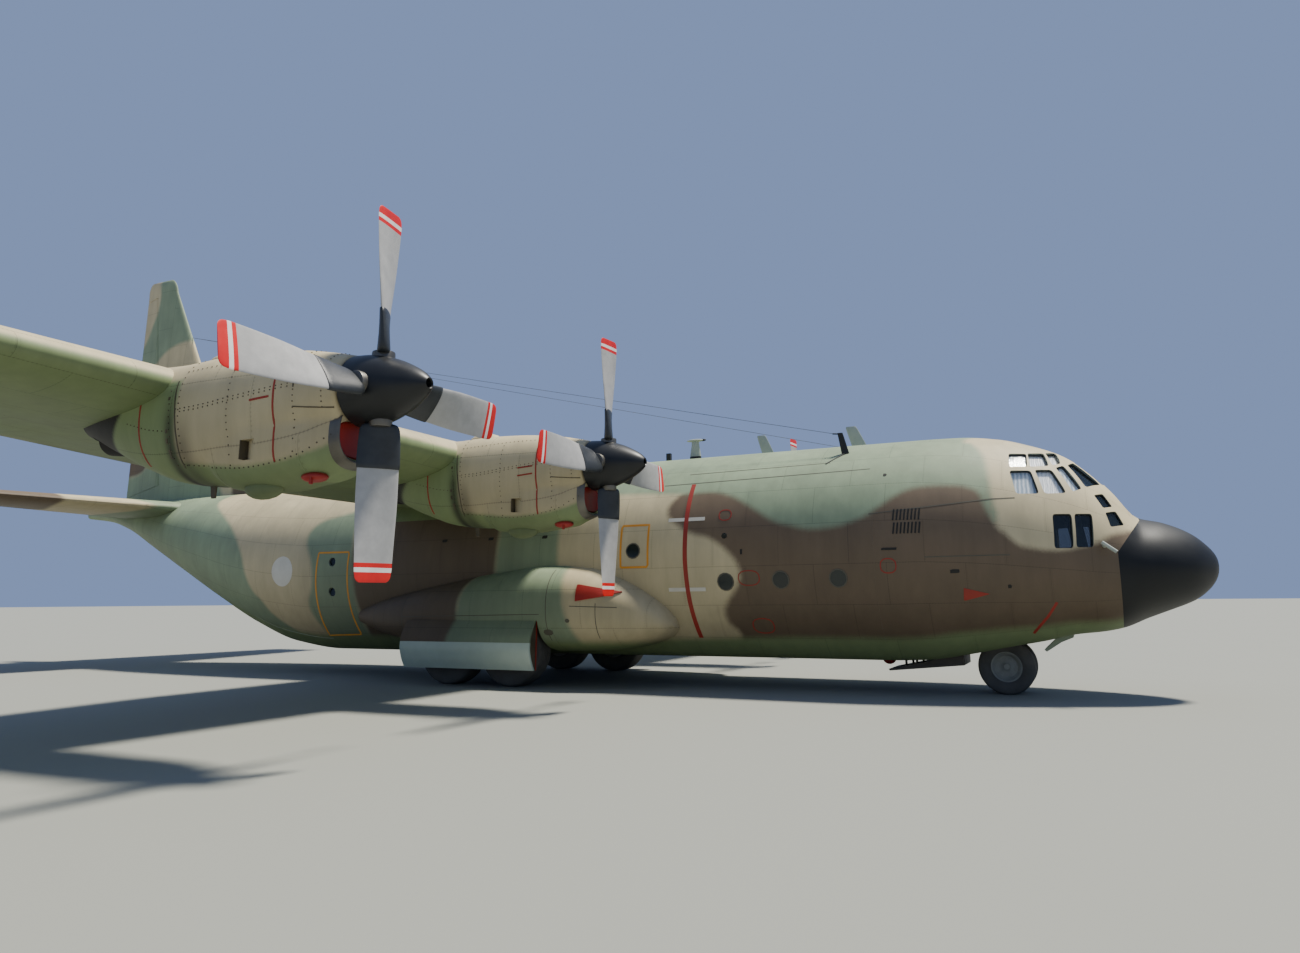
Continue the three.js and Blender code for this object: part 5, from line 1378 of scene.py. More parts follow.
def studs(name, points, outward, radius, sides=6, height=0.006):
    """Small flat-topped fasteners: a ring on the surface, a smaller one above it, and a face over that."""
    points, outward = np.asarray(points, float), unit(np.asarray(outward, float))
    lean = np.where(np.abs(outward[:, 2:3]) < 0.9, [[0, 0, 1.0]], [[1.0, 0, 0]])
    across = unit(np.cross(outward, lean))
    upward = np.cross(outward, across)
    turn = full_turn(sides)[None, :, None]
    spoke = np.cos(turn) * across[:, None] + np.sin(turn) * upward[:, None]
    foot = points[:, None] + spoke * radius - outward[:, None] * height
    head = points[:, None] + spoke * radius * 0.8 + outward[:, None] * height
    rows = np.concatenate([foot, head], axis=1)
    start = np.arange(len(points))[:, None] * 2 * sides
    low = np.arange(sides)
    walls = np.stack([low, (low + 1) % sides, (low + 1) % sides + sides, low + sides], axis=-1)
    faces = (start[..., None] + walls[None]).reshape(-1, 4).tolist()
    faces += (start + low + sides).tolist() + (start + low[::-1]).tolist()
    return piece_of(name, place(rows[..., 0], rows[..., 1], rows[..., 2]), faces, 30)


def spread(stations, angles, pitch):
    """Points along a line through stations and angles at the fasteners' pitch, interpolated by its length."""
    s, a = np.asarray(stations, float), np.asarray(angles, float)
    length = np.concatenate([[0], np.cumsum(np.hypot(np.diff(s), np.diff(a) * POD_GIRTH))])
    at = np.arange(0, length[-1], pitch)
    return np.interp(at, length, s), np.interp(at, length, a)


def even(ends, turns, count):
    """A number of stations and angles, spread evenly over those of a line."""
    at = np.linspace(0, 1, count)
    return [np.interp(at, np.linspace(0, 1, len(row)), row) for row in (ends, turns)]


FASTENER_PITCH = 0.075
FASTENER_RADIUS = 0.009
# Rows of fasteners on each side of a cowling: stations, and angles up from the side
FASTENER_ROWS = (
    ((9.1, 9.1), (-0.45, 1.5)),
    ((9.44, 9.44), (-0.95, 1.5)),
    ((9.44, 11.2), (0.14, 0.05)),
    ((9.44, 11.2), (0.2, 0.11)),
    ((9.44, 11.2), (0.95, 0.85)),
    ((9.02, 9.34, 9.7, 10.26, 10.74, 11.13), (-0.96, -0.99, -1.0, -0.99, -0.95, -0.88)),
    ((10.35, 10.35), (-0.95, 0.9)),
    ((11.07, 11.08, 11.12, 11.18), (-0.9, -0.47, 0.04, 1.3)),
    ((11.24, 11.25, 11.3), (-0.9, -0.47, 0.5)),
    ((11.3, 12.1), (-0.3, -0.22)),
)
# Painted rings, then the heights of the dashes that are only on the outboard side
RED_LINES = (((9.69, 9.69), (-1.0, 1.3)), ((11.8, 11.8), (-1.0, 0.26)))
RED_DASHES = {"outer": (0.0,), "inner": (0.1, -0.12)}
RED_WIDTH = 0.024
DARK_LINES = (
    ((8.97, 9.44), (-0.52, -0.31), 0.014),
    ((11.13, 11.13, 11.17, 11.23), (-0.95, -0.47, 0.04, 0.66), 0.016),
    ((11.3, 11.3), (0.3, 0.36), 0.03),
    ((11.3, 11.3), (-0.33, -0.26), 0.03),
    ((11.3, 11.3), (-0.52, -0.43), 0.03),
    ((11.28, 11.28), (-0.78, -0.62), 0.03),
    ((9.44, 9.44), (0.1, 0.55), 0.014),
)
VENT = {"stations": (9.91, 10.15), "inner": 0.42, "outer": 0.54, "heights": (-0.73, -0.51)}


def mound(name, centre, half_sizes, sides=28, rows=10):
    """A smooth blister, as an ellipsoid by its centre and half lengths along station, y and z."""
    turn = full_turn(sides)
    rings = []
    for lean in np.linspace(-pi / 2 + 0.06, pi / 2 - 0.06, rows):
        ring = np.stack([np.sin(lean) + 0 * turn, np.cos(lean) * np.cos(turn), np.cos(lean) * np.sin(turn)],
                        axis=-1)
        rings.append(np.asarray(centre) + ring * half_sizes)
    return real_loft(name, rings, 40)


for engine in ENGINES[:2]:
    name, y, z, pitch = engine
    label = name.removesuffix("_left")
    stations = np.concatenate([[8.95, 8.955, 8.97, 8.99], np.linspace(9.03, 11.1, 44),
                               np.linspace(11.13, 13.4, 60)])
    rounding = np.interp(stations, [8.95, 8.955, 8.97, 8.99], [-0.03, -0.018, -0.006, 0])
    angles = full_turn(COWL_SIDES)
    body = real_loft(f"cowling_{label}_left", pod_point(engine, stations[:, None], angles, rounding[:, None]),
                     40)
    combine(body, real_loft("intake", [pod_ring(engine, row) for row in INTAKE]))
    tunnel_cut(body)
    pipe_end = (TAIL_PIPE["to"] - TAIL_PIPE["depth"] / 2, y, z + TAIL_PIPE["drop"] - 0.03)
    combine(body, disc_bar("pipe_bore", pipe_end, (1, 0, 0.02), TAIL_PIPE["radius"] + 0.01,
                           TAIL_PIPE["depth"] + 0.4))
    low, high = VENT["heights"]
    front, rear = VENT["stations"]
    ramp = [(rear, y + VENT["inner"]), (rear, y + 1), (front, y + 1), (front, y + VENT["outer"])]
    combine(body, prism("vent", ramp, z + low, z + high, "z"))
    paint_pod(body, engine)
    pair(body, enamel, "airframe", "underside_paint", f"nacelle_{label}")

    stations = np.array([LIP_REAR, LIP_REAR - 0.005, 9.01, 8.97, 8.95, 8.935, 8.927, 8.927, 8.935, 8.96,
                         9.05])
    lifts = np.array([-0.01, 0.003, 0.003, 0.002, -0.002, -0.012, -0.022, -0.03, -0.04, -0.05, -0.055])
    turns = np.linspace(*LIP_TURN, 50)
    sheets = pod_point(engine, stations[:, None], turns, lifts[:, None])
    lip = real_loft(f"intake_lip_{label}_left", list(np.moveaxis(sheets, 1, 0)), 35)
    pair(lip, bare_steel, "airframe", "gear_steel", "")
    plug = real_loft(f"intake_cover_{label}_left",
                     [pod_ring(engine, [at, *through(INTAKE, at)], grow=grow)
                      for at, grow in ((9.0, -0.03), (9.02, -0.006), (9.08, -0.004))])
    exit_cover = mound("exit_cover", (9.36, y + 0.2, z - 0.93), (0.16, 0.12, 0.06))
    tab = block("tab", (9.3, 9.33), (y + 0.28, y + 0.31), (z - 1.02, z - 0.93))
    covers = joined(f"engine_covers_{label}_left", [plug, exit_cover, tab], 35)
    pair(covers, cover_red, "airframe", "seat_fabric", "")
    pipe_middle = (12.66, y, z + TAIL_PIPE["drop"] - 0.02)
    pipe = disc_bar(f"jet_pipe_{label}_left", pipe_middle, (1, 0, 0.1), TAIL_PIPE["radius"], 0.9, 40,
                    TAIL_PIPE["bore"])
    tunnel_cut(pipe)
    pair(pipe, scorched_and_shaded_steel, "airframe", "gear_steel", "")

    # A drain mast, a dark plate at the vent's rear wall that paints the shade in its outlet, and two blisters
    # over fittings
    mast = prism("mast", [(11.13, z - 0.86), (11.23, z - 0.86), (11.2, z - 1.04), (11.14, z - 1.04)],
                 y - 0.012, y + 0.012)
    # Painted shade: a dark plate across the vent's rear wall stands for its open outlet
    outlet_shade_plate = block("outlet_shade_plate", (VENT["stations"][1] - 0.012, VENT["stations"][1] - 0.004),
                   (y + VENT["inner"] + 0.01, y + 0.54), (z + low + 0.005, z + high - 0.005))
    mast = joined(f"drain_mast_{label}_left", [mast, outlet_shade_plate])
    pair(mast, fastener_dark, "airframe", "gear_steel", "")
    blister = mound(f"cowl_blister_{label}_left", (10.14, y + 0.17, z - 1.0), (0.28, 0.13, 0.13))
    paint_pod(blister, engine)
    pair(blister, enamel, "airframe", "underside_paint", "")
    hump = mound(f"cowl_hump_{label}_left", (11.05, y, z + 0.58), (0.3, 0.2, 0.12))
    paint_pod(hump, engine)
    pair(hump, enamel, "airframe", "underside_paint", "")

    lines, dots, seams = [], [], []
    dashes = tuple(((9.75, 10.02), (rise, rise)) for rise in RED_DASHES[label])
    for mirror in (0, 1):
        for ends, turns in RED_LINES + (() if mirror else dashes):
            s, a = even(ends, turns, 40)
            lines.append(pod_line("red_line", engine, s, pi - a if mirror else a, RED_WIDTH))
        for ends, turns, width in DARK_LINES:
            s, a = even(ends, turns, 24)
            seams.append(pod_line("seam", engine, s, pi - a if mirror else a, width))
        for ends, turns in FASTENER_ROWS:
            s, a = spread(ends, turns, FASTENER_PITCH)
            a = pi - a if mirror else a
            spots_at = pod_point(engine, s, a)
            dots.append(studs("row", spots_at, spots_at - pod_point(engine, s, a, -0.1), FASTENER_RADIUS))
    red = joined(f"cowl_red_lines_{label}_left", lines)
    pair(red, stripe_red, "airframe", "sand_paint", "")
    rows_of_studs = joined(f"cowl_fasteners_{label}_left", dots + seams)
    pair(rows_of_studs, fastener_dark, "airframe", "gear_steel", "")

# Propellers: four solid aluminium blades in a spinner, each with a rubber heating cuff at its root.
# The blades are painted grey, with red, white and red bands at the tips.
PROP_STATION, PROP_RADIUS = 8.67, 2.055
# Blade sections: radius, chord, thickness, share of the twist from root to tip
BLADE = np.array([
    [0.3, 0.3, 0.15, 0],
    [0.46, 0.4, 0.12, 0.03],
    [0.83, 0.44, 0.07, 0.27],
    [1.4, 0.47, 0.04, 0.68],
    [1.9, 0.47, 0.024, 0.95],
    [2.0, 0.45, 0.019, 0.98],
    [2.04, 0.4, 0.016, 0.99],
    [PROP_RADIUS, 0.34, 0.01, 1],
])
ROOT_TWIST = 32.0
CUFF_END = 0.86
CUFF_PROUD = 0.012
# Spinner: distance ahead of the prop plane, radius
SPINNER = np.array([[-0.26, 0.4], [-0.1, 0.39], [0.0, 0.375], [0.25, 0.3], [0.48, 0.19], [0.58, 0.125],
                    [0.64, 0.07]])
SPINNER_SIDES = 64

spinner_black, tree, shader = finish("satin_spinner_black", "#25272A", 0.4, Coat_Weight=0.08,
                                     Coat_Roughness=0.3, Specular_IOR_Level=0.35)
dusty = mottled(tree, shader, 7, "#0B0C0D", "#26282A")[1]
wire(tree, shader, Roughness=node(tree, "MapRange", {"Value": dusty, "To Min": 0.34, "To Max": 0.5}))
cuff_rubber = worn_paint("heated_cuff_rubber", "#15181A", "#383C40", 0.42, 90)

# The bands are where a point's distance from the shaft passes these radii, in real metres
BANDS = ((0.0, "#ABAAA7"), (1.848, "#D6120F"), (1.898, "#EAE6E0"), (1.944, "#D6120F"))
blade_grey, tree, shader = finish("blade_grey_with_tip_bands", "#9B9B9B", 0.42)
radius_at = node(tree, "Attribute", out="Fac", attribute_name="radius")
share = node(tree, "Math", {0: radius_at, 1: PROP_RADIUS}, operation="DIVIDE")
bands = node(tree, "ValToRGB", {"Fac": share})
ramp = bands.node.color_ramp
ramp.interpolation = "CONSTANT"
for index, (radius, code) in enumerate(BANDS):
    stop = ramp.elements[0] if index == 0 else ramp.elements.new(radius / PROP_RADIUS)
    stop.position = radius / PROP_RADIUS
    stop.color = linear(code)
ramp.elements.remove(ramp.elements[-1])
coords = node(tree, "TexCoord", out="Object")
scuffs = node(tree, "TexNoise", {"Vector": coords, "Scale": 12, "Detail": 8, "Roughness": 0.65})
worn = node(tree, "MapRange",
            {"Value": scuffs, "From Min": 0.3, "From Max": 0.7, "To Min": 0.84, "To Max": 1.06})
worn = node(tree, "VectorMath", {0: bands, "Scale": worn}, operation="SCALE")
rough = node(tree, "MapRange", {"Value": scuffs, "To Min": 0.34, "To Max": 0.55})
wire(tree, shader, Base_Color=worn, Roughness=rough)


def blade_rings(radii, tip_pitch, proud=0.0, drawn_in=None):
    """Sections of a blade along its radius: a lens that is thickest ahead of its middle, turned by the pitch.

    Chord goes by the cosine and thickness by the sine of the way round, fuller towards the leading edge."""
    chord, thickness, twist = np.moveaxis(through(BLADE, radii), -1, 0)
    chord, thickness = chord + 2 * proud, thickness + 2 * proud
    if drawn_in is not None:
        chord, thickness = chord * drawn_in, thickness * drawn_in
    pitch = np.radians(tip_pitch + ROOT_TWIST * (1 - twist))[:, None]
    turn = full_turn(28)[None, :]
    ahead = 0.5 * np.cos(turn) * chord[:, None]
    thick = 0.45 * np.sin(turn) * (1 + 0.35 * np.cos(turn)) * thickness[:, None]
    x = ahead * np.sin(pitch) + thick * np.cos(pitch)
    y = -ahead * np.cos(pitch) + thick * np.sin(pitch)
    return np.stack([x, y, 0 * x + np.asarray(radii)[:, None]], axis=-1)


def lathe(name, profile, sides=64, smooth=35):
    """A surface of revolution about the x axis from (x, radius) points, with its ends closed flat."""
    turn = full_turn(sides)
    profile = np.asarray(profile, float)
    rings = np.stack([profile[:, :1] + 0 * turn, profile[:, 1:] * np.cos(turn),
                      profile[:, 1:] * np.sin(turn)], axis=-1)
    return loft(name, rings * MODEL, smooth)


def turned(piece, matrix):
    piece.data.transform(matrix)
    return piece


for name, y, z, tip_pitch in ENGINES:
    hub = Matrix.Translation(Vector(place(PROP_STATION, y, z)))
    body_name = f"propeller_{name}"
    steps = np.linspace(SPINNER[0, 0], SPINNER[-1, 0], 40)
    outline = [(at, float(through(SPINNER, at)[0])) for at in steps]
    nose = [(0.648, 0.058), (0.635, 0.048), (0.56, 0.045)]
    shell = lathe(f"spinner_{name}", [(SPINNER[0, 0], 0.12)] + outline + nose, SPINNER_SIDES)
    wear(turned(shell, hub), spinner_black, body_name, "black_radome")
    blades, cuffs, collars = [], [], []
    for quarter in range(4):
        spin = hub @ Matrix.Rotation(quarter * pi / 2, 4, "X")
        radii = np.concatenate([np.linspace(0.7, 1.95, 40), np.linspace(1.97, PROP_RADIUS, 8)])
        metal = loft("blade", blade_rings(radii, tip_pitch) * MODEL, 50)
        co = np.empty(len(metal.data.vertices) * 3)
        metal.data.vertices.foreach_get("co", co)
        coat(metal, radius=co[2::3] / MODEL)
        blades.append(turned(metal, spin))
        cuff_radii = np.array([0.38, 0.39, 0.41, 0.44, 0.5, 0.6, 0.7, 0.77, 0.81, CUFF_END, CUFF_END + 0.004])
        drawn = np.array([0.8, 0.92, 0.98, 1, 1, 1, 1, 1, 1, 0.99, 0.95])
        cuffs.append(turned(loft("cuff", blade_rings(cuff_radii, tip_pitch, CUFF_PROUD, drawn) * MODEL, 50),
                            spin))
        collar = lathe("collar", [(0.3, 0.125), (0.4, 0.125), (0.415, 0.12), (0.42, 0.1), (0.42, 0.02)], 32)
        upright = Matrix.Rotation(-pi / 2, 4, "Y")
        collars.append(turned(collar, spin @ upright))
    metal = joined(f"propeller_blades_{name}", blades, 50)
    wear(metal, blade_grey, body_name, "propeller_grey", f"propeller_{name}")
    rubber = joined(f"blade_cuffs_{name}", cuffs, 50)
    wear(rubber, cuff_rubber, body_name, "black_plastic")
    collar = joined(f"blade_collars_{name}", collars, 40)
    wear(collar, bare_steel, body_name, "gear_steel")

# Sponsons: fairings on the fuselage's sides over the main wheels, of riveted sheet with a rounded front.
# The gear doors hang open from their lower edges, outside the wheels.
# Columns: station, outermost y, top, bottom
SPONSON = np.array([
    [9.0, 2.02, 1.3, 1.12],
    [9.14, 2.28, 1.53, 0.99],
    [9.55, 2.46, 1.87, 0.84],
    [10.0, 2.58, 2.13, 0.74],
    [10.7, 2.68, 2.36, 0.68],
    [11.6, 2.74, 2.42, 0.66],
    [12.8, 2.74, 2.3, 0.66],
    [14.0, 2.7, 2.12, 0.68],
    [15.0, 2.56, 1.95, 0.76],
    [16.0, 2.3, 1.75, 0.95],
    [16.7, 2.02, 1.55, 1.15],
])
SPONSON_INNER = 1.4
WELL = {"stations": (11.55, 14.75), "inner": 1.3, "outer": 2.52, "top": 1.64, "door_top": 1.28}
BROWN_SPONSON = [[(13.2, 3.2), (13.35, 2.2), (13.45, 1.5), (13.4, 0.2), (17.8, 0.0), (17.8, 3.2)]]
GREEN_SPONSON = [[(11.3, 3.2), (11.1, 2.2), (11.0, 1.6), (10.85, 0.2), (13.4, 0.0), (13.45, 1.5),
                  (13.35, 2.2), (13.2, 3.2)]]
SPONSON_LINE = 0.87  # height of the underside's colour line
# Painted shade low on the sponsons and the gear doors' upper panels, growing downward
SIDE_SHADE = (0.24, 2.4, 0.8)  # strength, height that it starts at, and how far down it grows


def sponson_ring(row, steps=36):
    """Half of a rounded outline from the belly up to the top: a power of the cosine out, of the sine up."""
    station, outer, top, bottom = row
    turn = pi * (np.linspace(0, 1, steps) - 0.5)
    across = np.abs(np.cos(turn)) ** 0.7 * (outer - SPONSON_INNER)
    rise = np.sign(turn) * np.abs(np.sin(turn)) ** 0.85 * (top - bottom) / 2
    return np.stack([0 * turn + station, SPONSON_INNER + across, (top + bottom) / 2 + rise], axis=-1)


def paint_side(piece, brown, green, line=SPONSON_LINE):
    """Sprays a piece by its side view, with the underside coat below a height, and a painted shade that grows
    towards the bottom.
    """
    station, y, z = real_points(piece)
    plan = np.stack([station, z], axis=-1)
    strength, top, growth = SIDE_SHADE
    painted_shade = strength * np.clip((top - z) / growth, 0, 1)
    spray(piece, plan, brown, green, line - z, painted_shade, (station, z + 0.3))


near_front = SPONSON[0, 0] + np.array([0, 0.01, 0.03, 0.06, 0.1])
sponson_at = np.concatenate([near_front, np.linspace(9.15, 16.7, 76)])
sponson = real_loft("sponson_shell_left", [sponson_ring([at, *through(SPONSON, at)]) for at in sponson_at],
                    40)
combine(sponson, grown_skin("belly_side", 8.5, 17.2))
well_from, well_to = WELL["stations"]
combine(sponson, block("wheel_well", WELL["stations"], (WELL["inner"], WELL["outer"]), (-1, WELL["top"])))
combine(sponson, block("door_space", WELL["stations"], (WELL["inner"], 4), (-1, WELL["door_top"])))
paint_side(sponson, BROWN_SPONSON, GREEN_SPONSON)
pair(sponson, enamel, "airframe", "green_paint", "sponson")

# Main gear doors: bowed sheet panels, stiffened inside by ribs with red flanges. They are painted in the
# sponson's colours above and a pale grey below.
DOOR_BOW = np.array([[1.28 - SEAM, 2.72], [1.12, 2.82], [0.94, 2.9], [0.76, 2.92], [0.56, 2.87],
                     [0.35, 2.76]])
DOOR_THICKNESS = 0.05
door_from_s, door_to_s = well_from + 0.04, well_to - 0.04
pale_door_paint = worn_paint("pale_grey_door_enamel", "#9FB0A2", "#C6D4C6", 0.5, 30)


def bowed_panel(name, top, bottom):
    """A piece of the door between two heights: its bowed section, the same from its front to its rear."""
    heights = np.linspace(top, bottom, 14)
    ys = through(DOOR_BOW[::-1], heights[::-1])[::-1, 0]
    outline = np.concatenate([np.stack([ys, heights], -1),
                              np.stack([ys - DOOR_THICKNESS, heights], -1)[::-1]])
    rings = [np.stack([0 * outline[:, 0] + at, outline[:, 0], outline[:, 1]], axis=-1)
             for at in np.linspace(door_from_s, door_to_s, 40)]
    return real_loft(name, rings, 40)


upper_door = bowed_panel("main_gear_door_upper_left", DOOR_BOW[0, 0], SPONSON_LINE)
paint_side(upper_door, BROWN_SPONSON, GREEN_SPONSON, -2)
pair(upper_door, enamel, "airframe", "underside_paint", "main_gear_door")
lower_door = bowed_panel("main_gear_door_lower_left", SPONSON_LINE - 0.002, DOOR_BOW[-1, 0])
pair(lower_door, pale_door_paint, "airframe", "underside_paint", "main_gear_door")
bow_heights = np.linspace(DOOR_BOW[0, 0], DOOR_BOW[-1, 0], 22)
bow_ys = through(DOOR_BOW[::-1], bow_heights[::-1])[::-1, 0]
ribs, flanges = [], []
inner_ys = bow_ys - DOOR_THICKNESS + 0.004
for station in np.linspace(door_from_s + 0.02, door_to_s - 0.04, 6):
    rib_outline = np.concatenate([np.stack([inner_ys, bow_heights], -1),
                                  [[2.66, bow_heights[-1]], [2.64, bow_heights[0]]]])
    ends = [np.stack([0 * rib_outline[:, 0] + at, rib_outline[:, 0], rib_outline[:, 1]], axis=-1)
            for at in (station, station + 0.015)]
    ribs.append(real_loft("rib", ends, 30))
    rim = [(2.64, bow_heights[0]), (2.66, bow_heights[-1]), (2.635, bow_heights[-1]), (2.615, bow_heights[0])]
    flanges.append(real_loft("flange", [[(at, *corner) for corner in rim]
                                        for at in (station - 0.012, station + 0.02)], 30))
door_ribs = joined("main_gear_door_ribs_left", ribs)
pair(door_ribs, fastener_dark, "airframe", "gear_steel", "")
door_flanges = joined("main_gear_door_flanges_left", flanges)
pair(door_flanges, stripe_red, "airframe", "gear_steel", "")

# Wheels: bias-ply tyres with straight ribs on split alloy hubs, painted pale grey and greasy round the
# bearings. A tyre is flattened where it stands on the ground.
WHEEL_FLAT = cos(pi / 24)
MAIN_WHEEL = {"radius": 0.71, "width": 0.51}
NOSE_WHEEL = {"radius": 0.47, "width": 0.33}
MAIN_AXLES = {"front": 12.38, "rear": 13.9}
MAIN_TRACK_HALF, NOSE_AXLE, NOSE_TRACK_HALF = 2.175, 3.37, 0.29
GROOVES, GROOVE_WIDTH, GROOVE_DEPTH = 5, 0.014, 0.012
WHEEL_SIDES = 84
BOLTS = 10

tyre_rubber = worn_paint("dusty_tyre_rubber", "#33322F", "#6E6C64", 0.85, 40, bump_depth=0.003)
hub_alloy = worn_paint("chalky_hub_enamel", "#5E605A", "#A9ABA1", 0.5, 60)


def tyre_profile(radius, width):
    """Half-round shoulders between a flat tread and the bead, with straight grooves; y, then radius."""
    w, bead = width / 2, radius * 0.52
    shoulder = np.linspace(0, 1, 14)[:, None]
    corner = [(w * 0.78, bead), (w * 1.0, radius * 0.66), (w * 1.03, radius * 0.84),
              (w * 0.9, radius * 0.965), (w * 0.62, radius)]
    corner = np.array(corner)
    flank = np.stack([np.interp(shoulder[:, 0], np.linspace(0, 1, 5), corner[:, i]) for i in (0, 1)], axis=-1)
    flank[1:-1] = (flank[:-2] + 2 * flank[1:-1] + flank[2:]) / 4
    tread = []
    for middle in np.linspace(0.5, -0.5, GROOVES) * w:
        half = GROOVE_WIDTH / 2
        tread += [(middle + half, radius), (middle + half * 0.6, radius - GROOVE_DEPTH),
                  (middle - half * 0.6, radius - GROOVE_DEPTH), (middle - half, radius)]
    return np.concatenate([flank, tread, flank[::-1] * [-1, 1]])


def hub_profile(radius, width):
    """The dished hub's outer face, from its middle to the rim flange, and the same again inboard."""
    w, rim = width / 2, radius * 0.54
    face = [(w * 0.62, 0.0), (w * 0.62, rim * 0.2), (w * 0.5, rim * 0.24), (w * 0.34, rim * 0.42),
            (w * 0.34, rim * 0.7), (w * 0.55, rim * 0.86), (w * 0.76, rim * 0.9), (w * 0.84, rim * 1.0),
            (w * 0.78, rim * 1.04)]
    return np.array(face + [(-w * 0.78, rim * 1.04), (-w * 0.84, rim), (-w * 0.6, rim * 0.86),
                            (-w * 0.4, rim * 0.4), (-w * 0.4, 0.0)])


def wheel_part(name, profile, station, y, height, outboard, sides=WHEEL_SIDES, closed=False):
    """A surface of revolution about the wheel's axle, flattened where it would pass through the ground.

    A tyre's profile is closed, so that it leaves its bore open."""
    turn = full_turn(sides)
    across = y + outboard * profile[:, :1] + 0 * turn
    radius = np.maximum(profile[:, 1:], 0.0005)
    rings = np.stack([station + radius * np.sin(turn), across, np.maximum(height + radius * np.cos(turn), 0)],
                     axis=-1)
    return hoop(name, [place(*ring.T) for ring in rings], 32) if closed else real_loft(name, rings, 32)


def wheel(name, station, y, sizes, body_name, node_name):
    radius, width = sizes["radius"], sizes["width"]
    outboard = 1 if y > 0 else -1
    height = radius * WHEEL_FLAT
    tread = wheel_part(f"tyre_{name}", tyre_profile(radius, width), station, y, height, outboard, closed=True)
    wear(tread, tyre_rubber, body_name, "tyre_rubber", node_name)
    parts = [wheel_part("hub", hub_profile(radius, width), station, y, height, outboard)]
    turn = full_turn(BOLTS)
    circle = radius * 0.54 * 0.56
    heads = np.stack([station + circle * np.sin(turn), 0 * turn + y + outboard * width * 0.175,
                      height + circle * np.cos(turn)], axis=-1)
    parts.append(studs("bolts", heads, np.tile([0, outboard, 0], (BOLTS, 1)), radius * 0.035, 6, 0.018))
    hub = joined(f"hub_{name}", parts, 32)
    wear(hub, hub_alloy, body_name, "gear_steel")


for place_name, station in MAIN_AXLES.items():
    for side, label in SIDES:
        name = f"main_wheel_{place_name}_{label}"
        wheel(name, station, side * MAIN_TRACK_HALF, MAIN_WHEEL, name, name)
for side, label in SIDES:
    wheel(f"nose_wheel_{label}", NOSE_AXLE, side * NOSE_TRACK_HALF, NOSE_WHEEL, "nose_wheels",
          f"nose_wheel_{label}")

# Gear legs: forged steel struts in grey enamel. The legs and the nose gear doors are the CAD's own pieces,
# which get these finishes, the rear door a darker enamel that is a painted shade under the nose.
leg_enamel = worn_paint("grey_leg_enamel", "#55574F", "#9A9C92", 0.45, 40, metallic=0.1)
refinish(leg_enamel, "main_legs_left", "main_legs_right", "nose_leg", "nose_fork")
door_enamel = worn_paint("gear_door_grey_green", "#7C8A72", "#A5B197", 0.6, 40)
# Painted shade: the rear nose gear door's enamel is darkened for the shade under the nose
sooted_enamel = worn_paint("gear_door_enamel_with_painted_shade", "#34302A", "#6B665B", 0.6, 40)
refinish(door_enamel, "nose_gear_door_front")
refinish(sooted_enamel, "nose_gear_door_rear")

# Masked lines, plates and small fittings of the fuselage, laid a few millimetres above the skin on both
# sides: sealed joints, red danger lines, orange rescue outlines, dark round ports, louvres and a plain pale
# disc. Marks that would lie across the crew door are only to starboard.
sealant_grey = worn_paint("weathered_joint_sealant", "#3A3830", "#6B6757", 0.75, 60)
rescue_orange = worn_paint("rescue_orange_paint", "#C07A18", "#EBA52E", 0.6, 60)
placard_white = worn_paint("chalked_white_paint", "#B9B4A4", "#DEDACD", 0.65, 50)
port_glass_dark = worn_paint("dusty_port_glass", "#10181A", "#26302E", 0.16, 20)
# Flat dark plates over the vents, and dark bars for the louvres
vent_black = worn_paint("sooty_louvre_metal", "#15140F", "#2E2B22", 0.7, 60)

SEALED_JOINTS = (
    ((9.31, 3.86), (5.3, 3.93)),
    ((8.86, 4.08), (6.07, 4.12)),
    ((5.27, 3.08), (4.33, 3.16), (3.31, 3.26), (2.94, 3.27)),
    ((4.37, 2.32), (3.07, 2.33)),
)
RED_STRIPE = ((8.68, 3.85), (8.68, 3.2), (8.68, 2.4), (8.66, 1.6), (8.62, 0.95))
NOSE_STRIPE = ((2.45, 1.57), (2.6, 1.35), (2.85, 1.07))
TRIANGLE = ((3.81, 1.81), (3.83, 1.6), (3.42, 1.71))
# Rounded red rings: station, height, half length, half height
RINGS = ((7.91, 3.19, 0.12, 0.1), (4.97, 2.19, 0.13, 0.12), (7.45, 2.03, 0.2, 0.13), (7.32, 1.18, 0.2, 0.13))
RESCUE_OUTLINES = (
    ((10.03, 2.27), (9.45, 2.27), (9.45, 3.07), (10.03, 3.07)),
    ((17.89, 2.78), (16.96, 2.77), (17.03, 0.93), (18.03, 0.9)),
)
# Round ports: station, height, radius
PORTHOLES = ((7.9, 1.97, 0.14), (6.86, 1.99, 0.14), (5.83, 2.0, 0.14), (9.76, 2.58, 0.13), (7.9, 2.8, 0.055))
PLACARDS = ((8.31, 9.05, 3.14, 0.035), (8.31, 9.05, 1.84, 0.035))
LOUVRES = {"stations": np.linspace(4.42, 4.84, 8), "heights": ((3.14, 2.95), (2.91, 2.72)), "width": 0.026}
VENTS = ((4.94, 2.47, 0.13, 0.02), (3.92, 2.08, 0.07, 0.03), (7.57, 2.5, 0.02, 0.05),
         (3.11, 1.83, 0.03, 0.03), (11.78, 2.92, 0.06, 0.03), (13.1, 2.93, 0.06, 0.03),
         (14.3, 2.93, 0.06, 0.03), (5.02, 3.79, 0.03, 0.02))
DISC = (19.04, 2.38, 0.35)
DOOR_MARGIN = 0.65


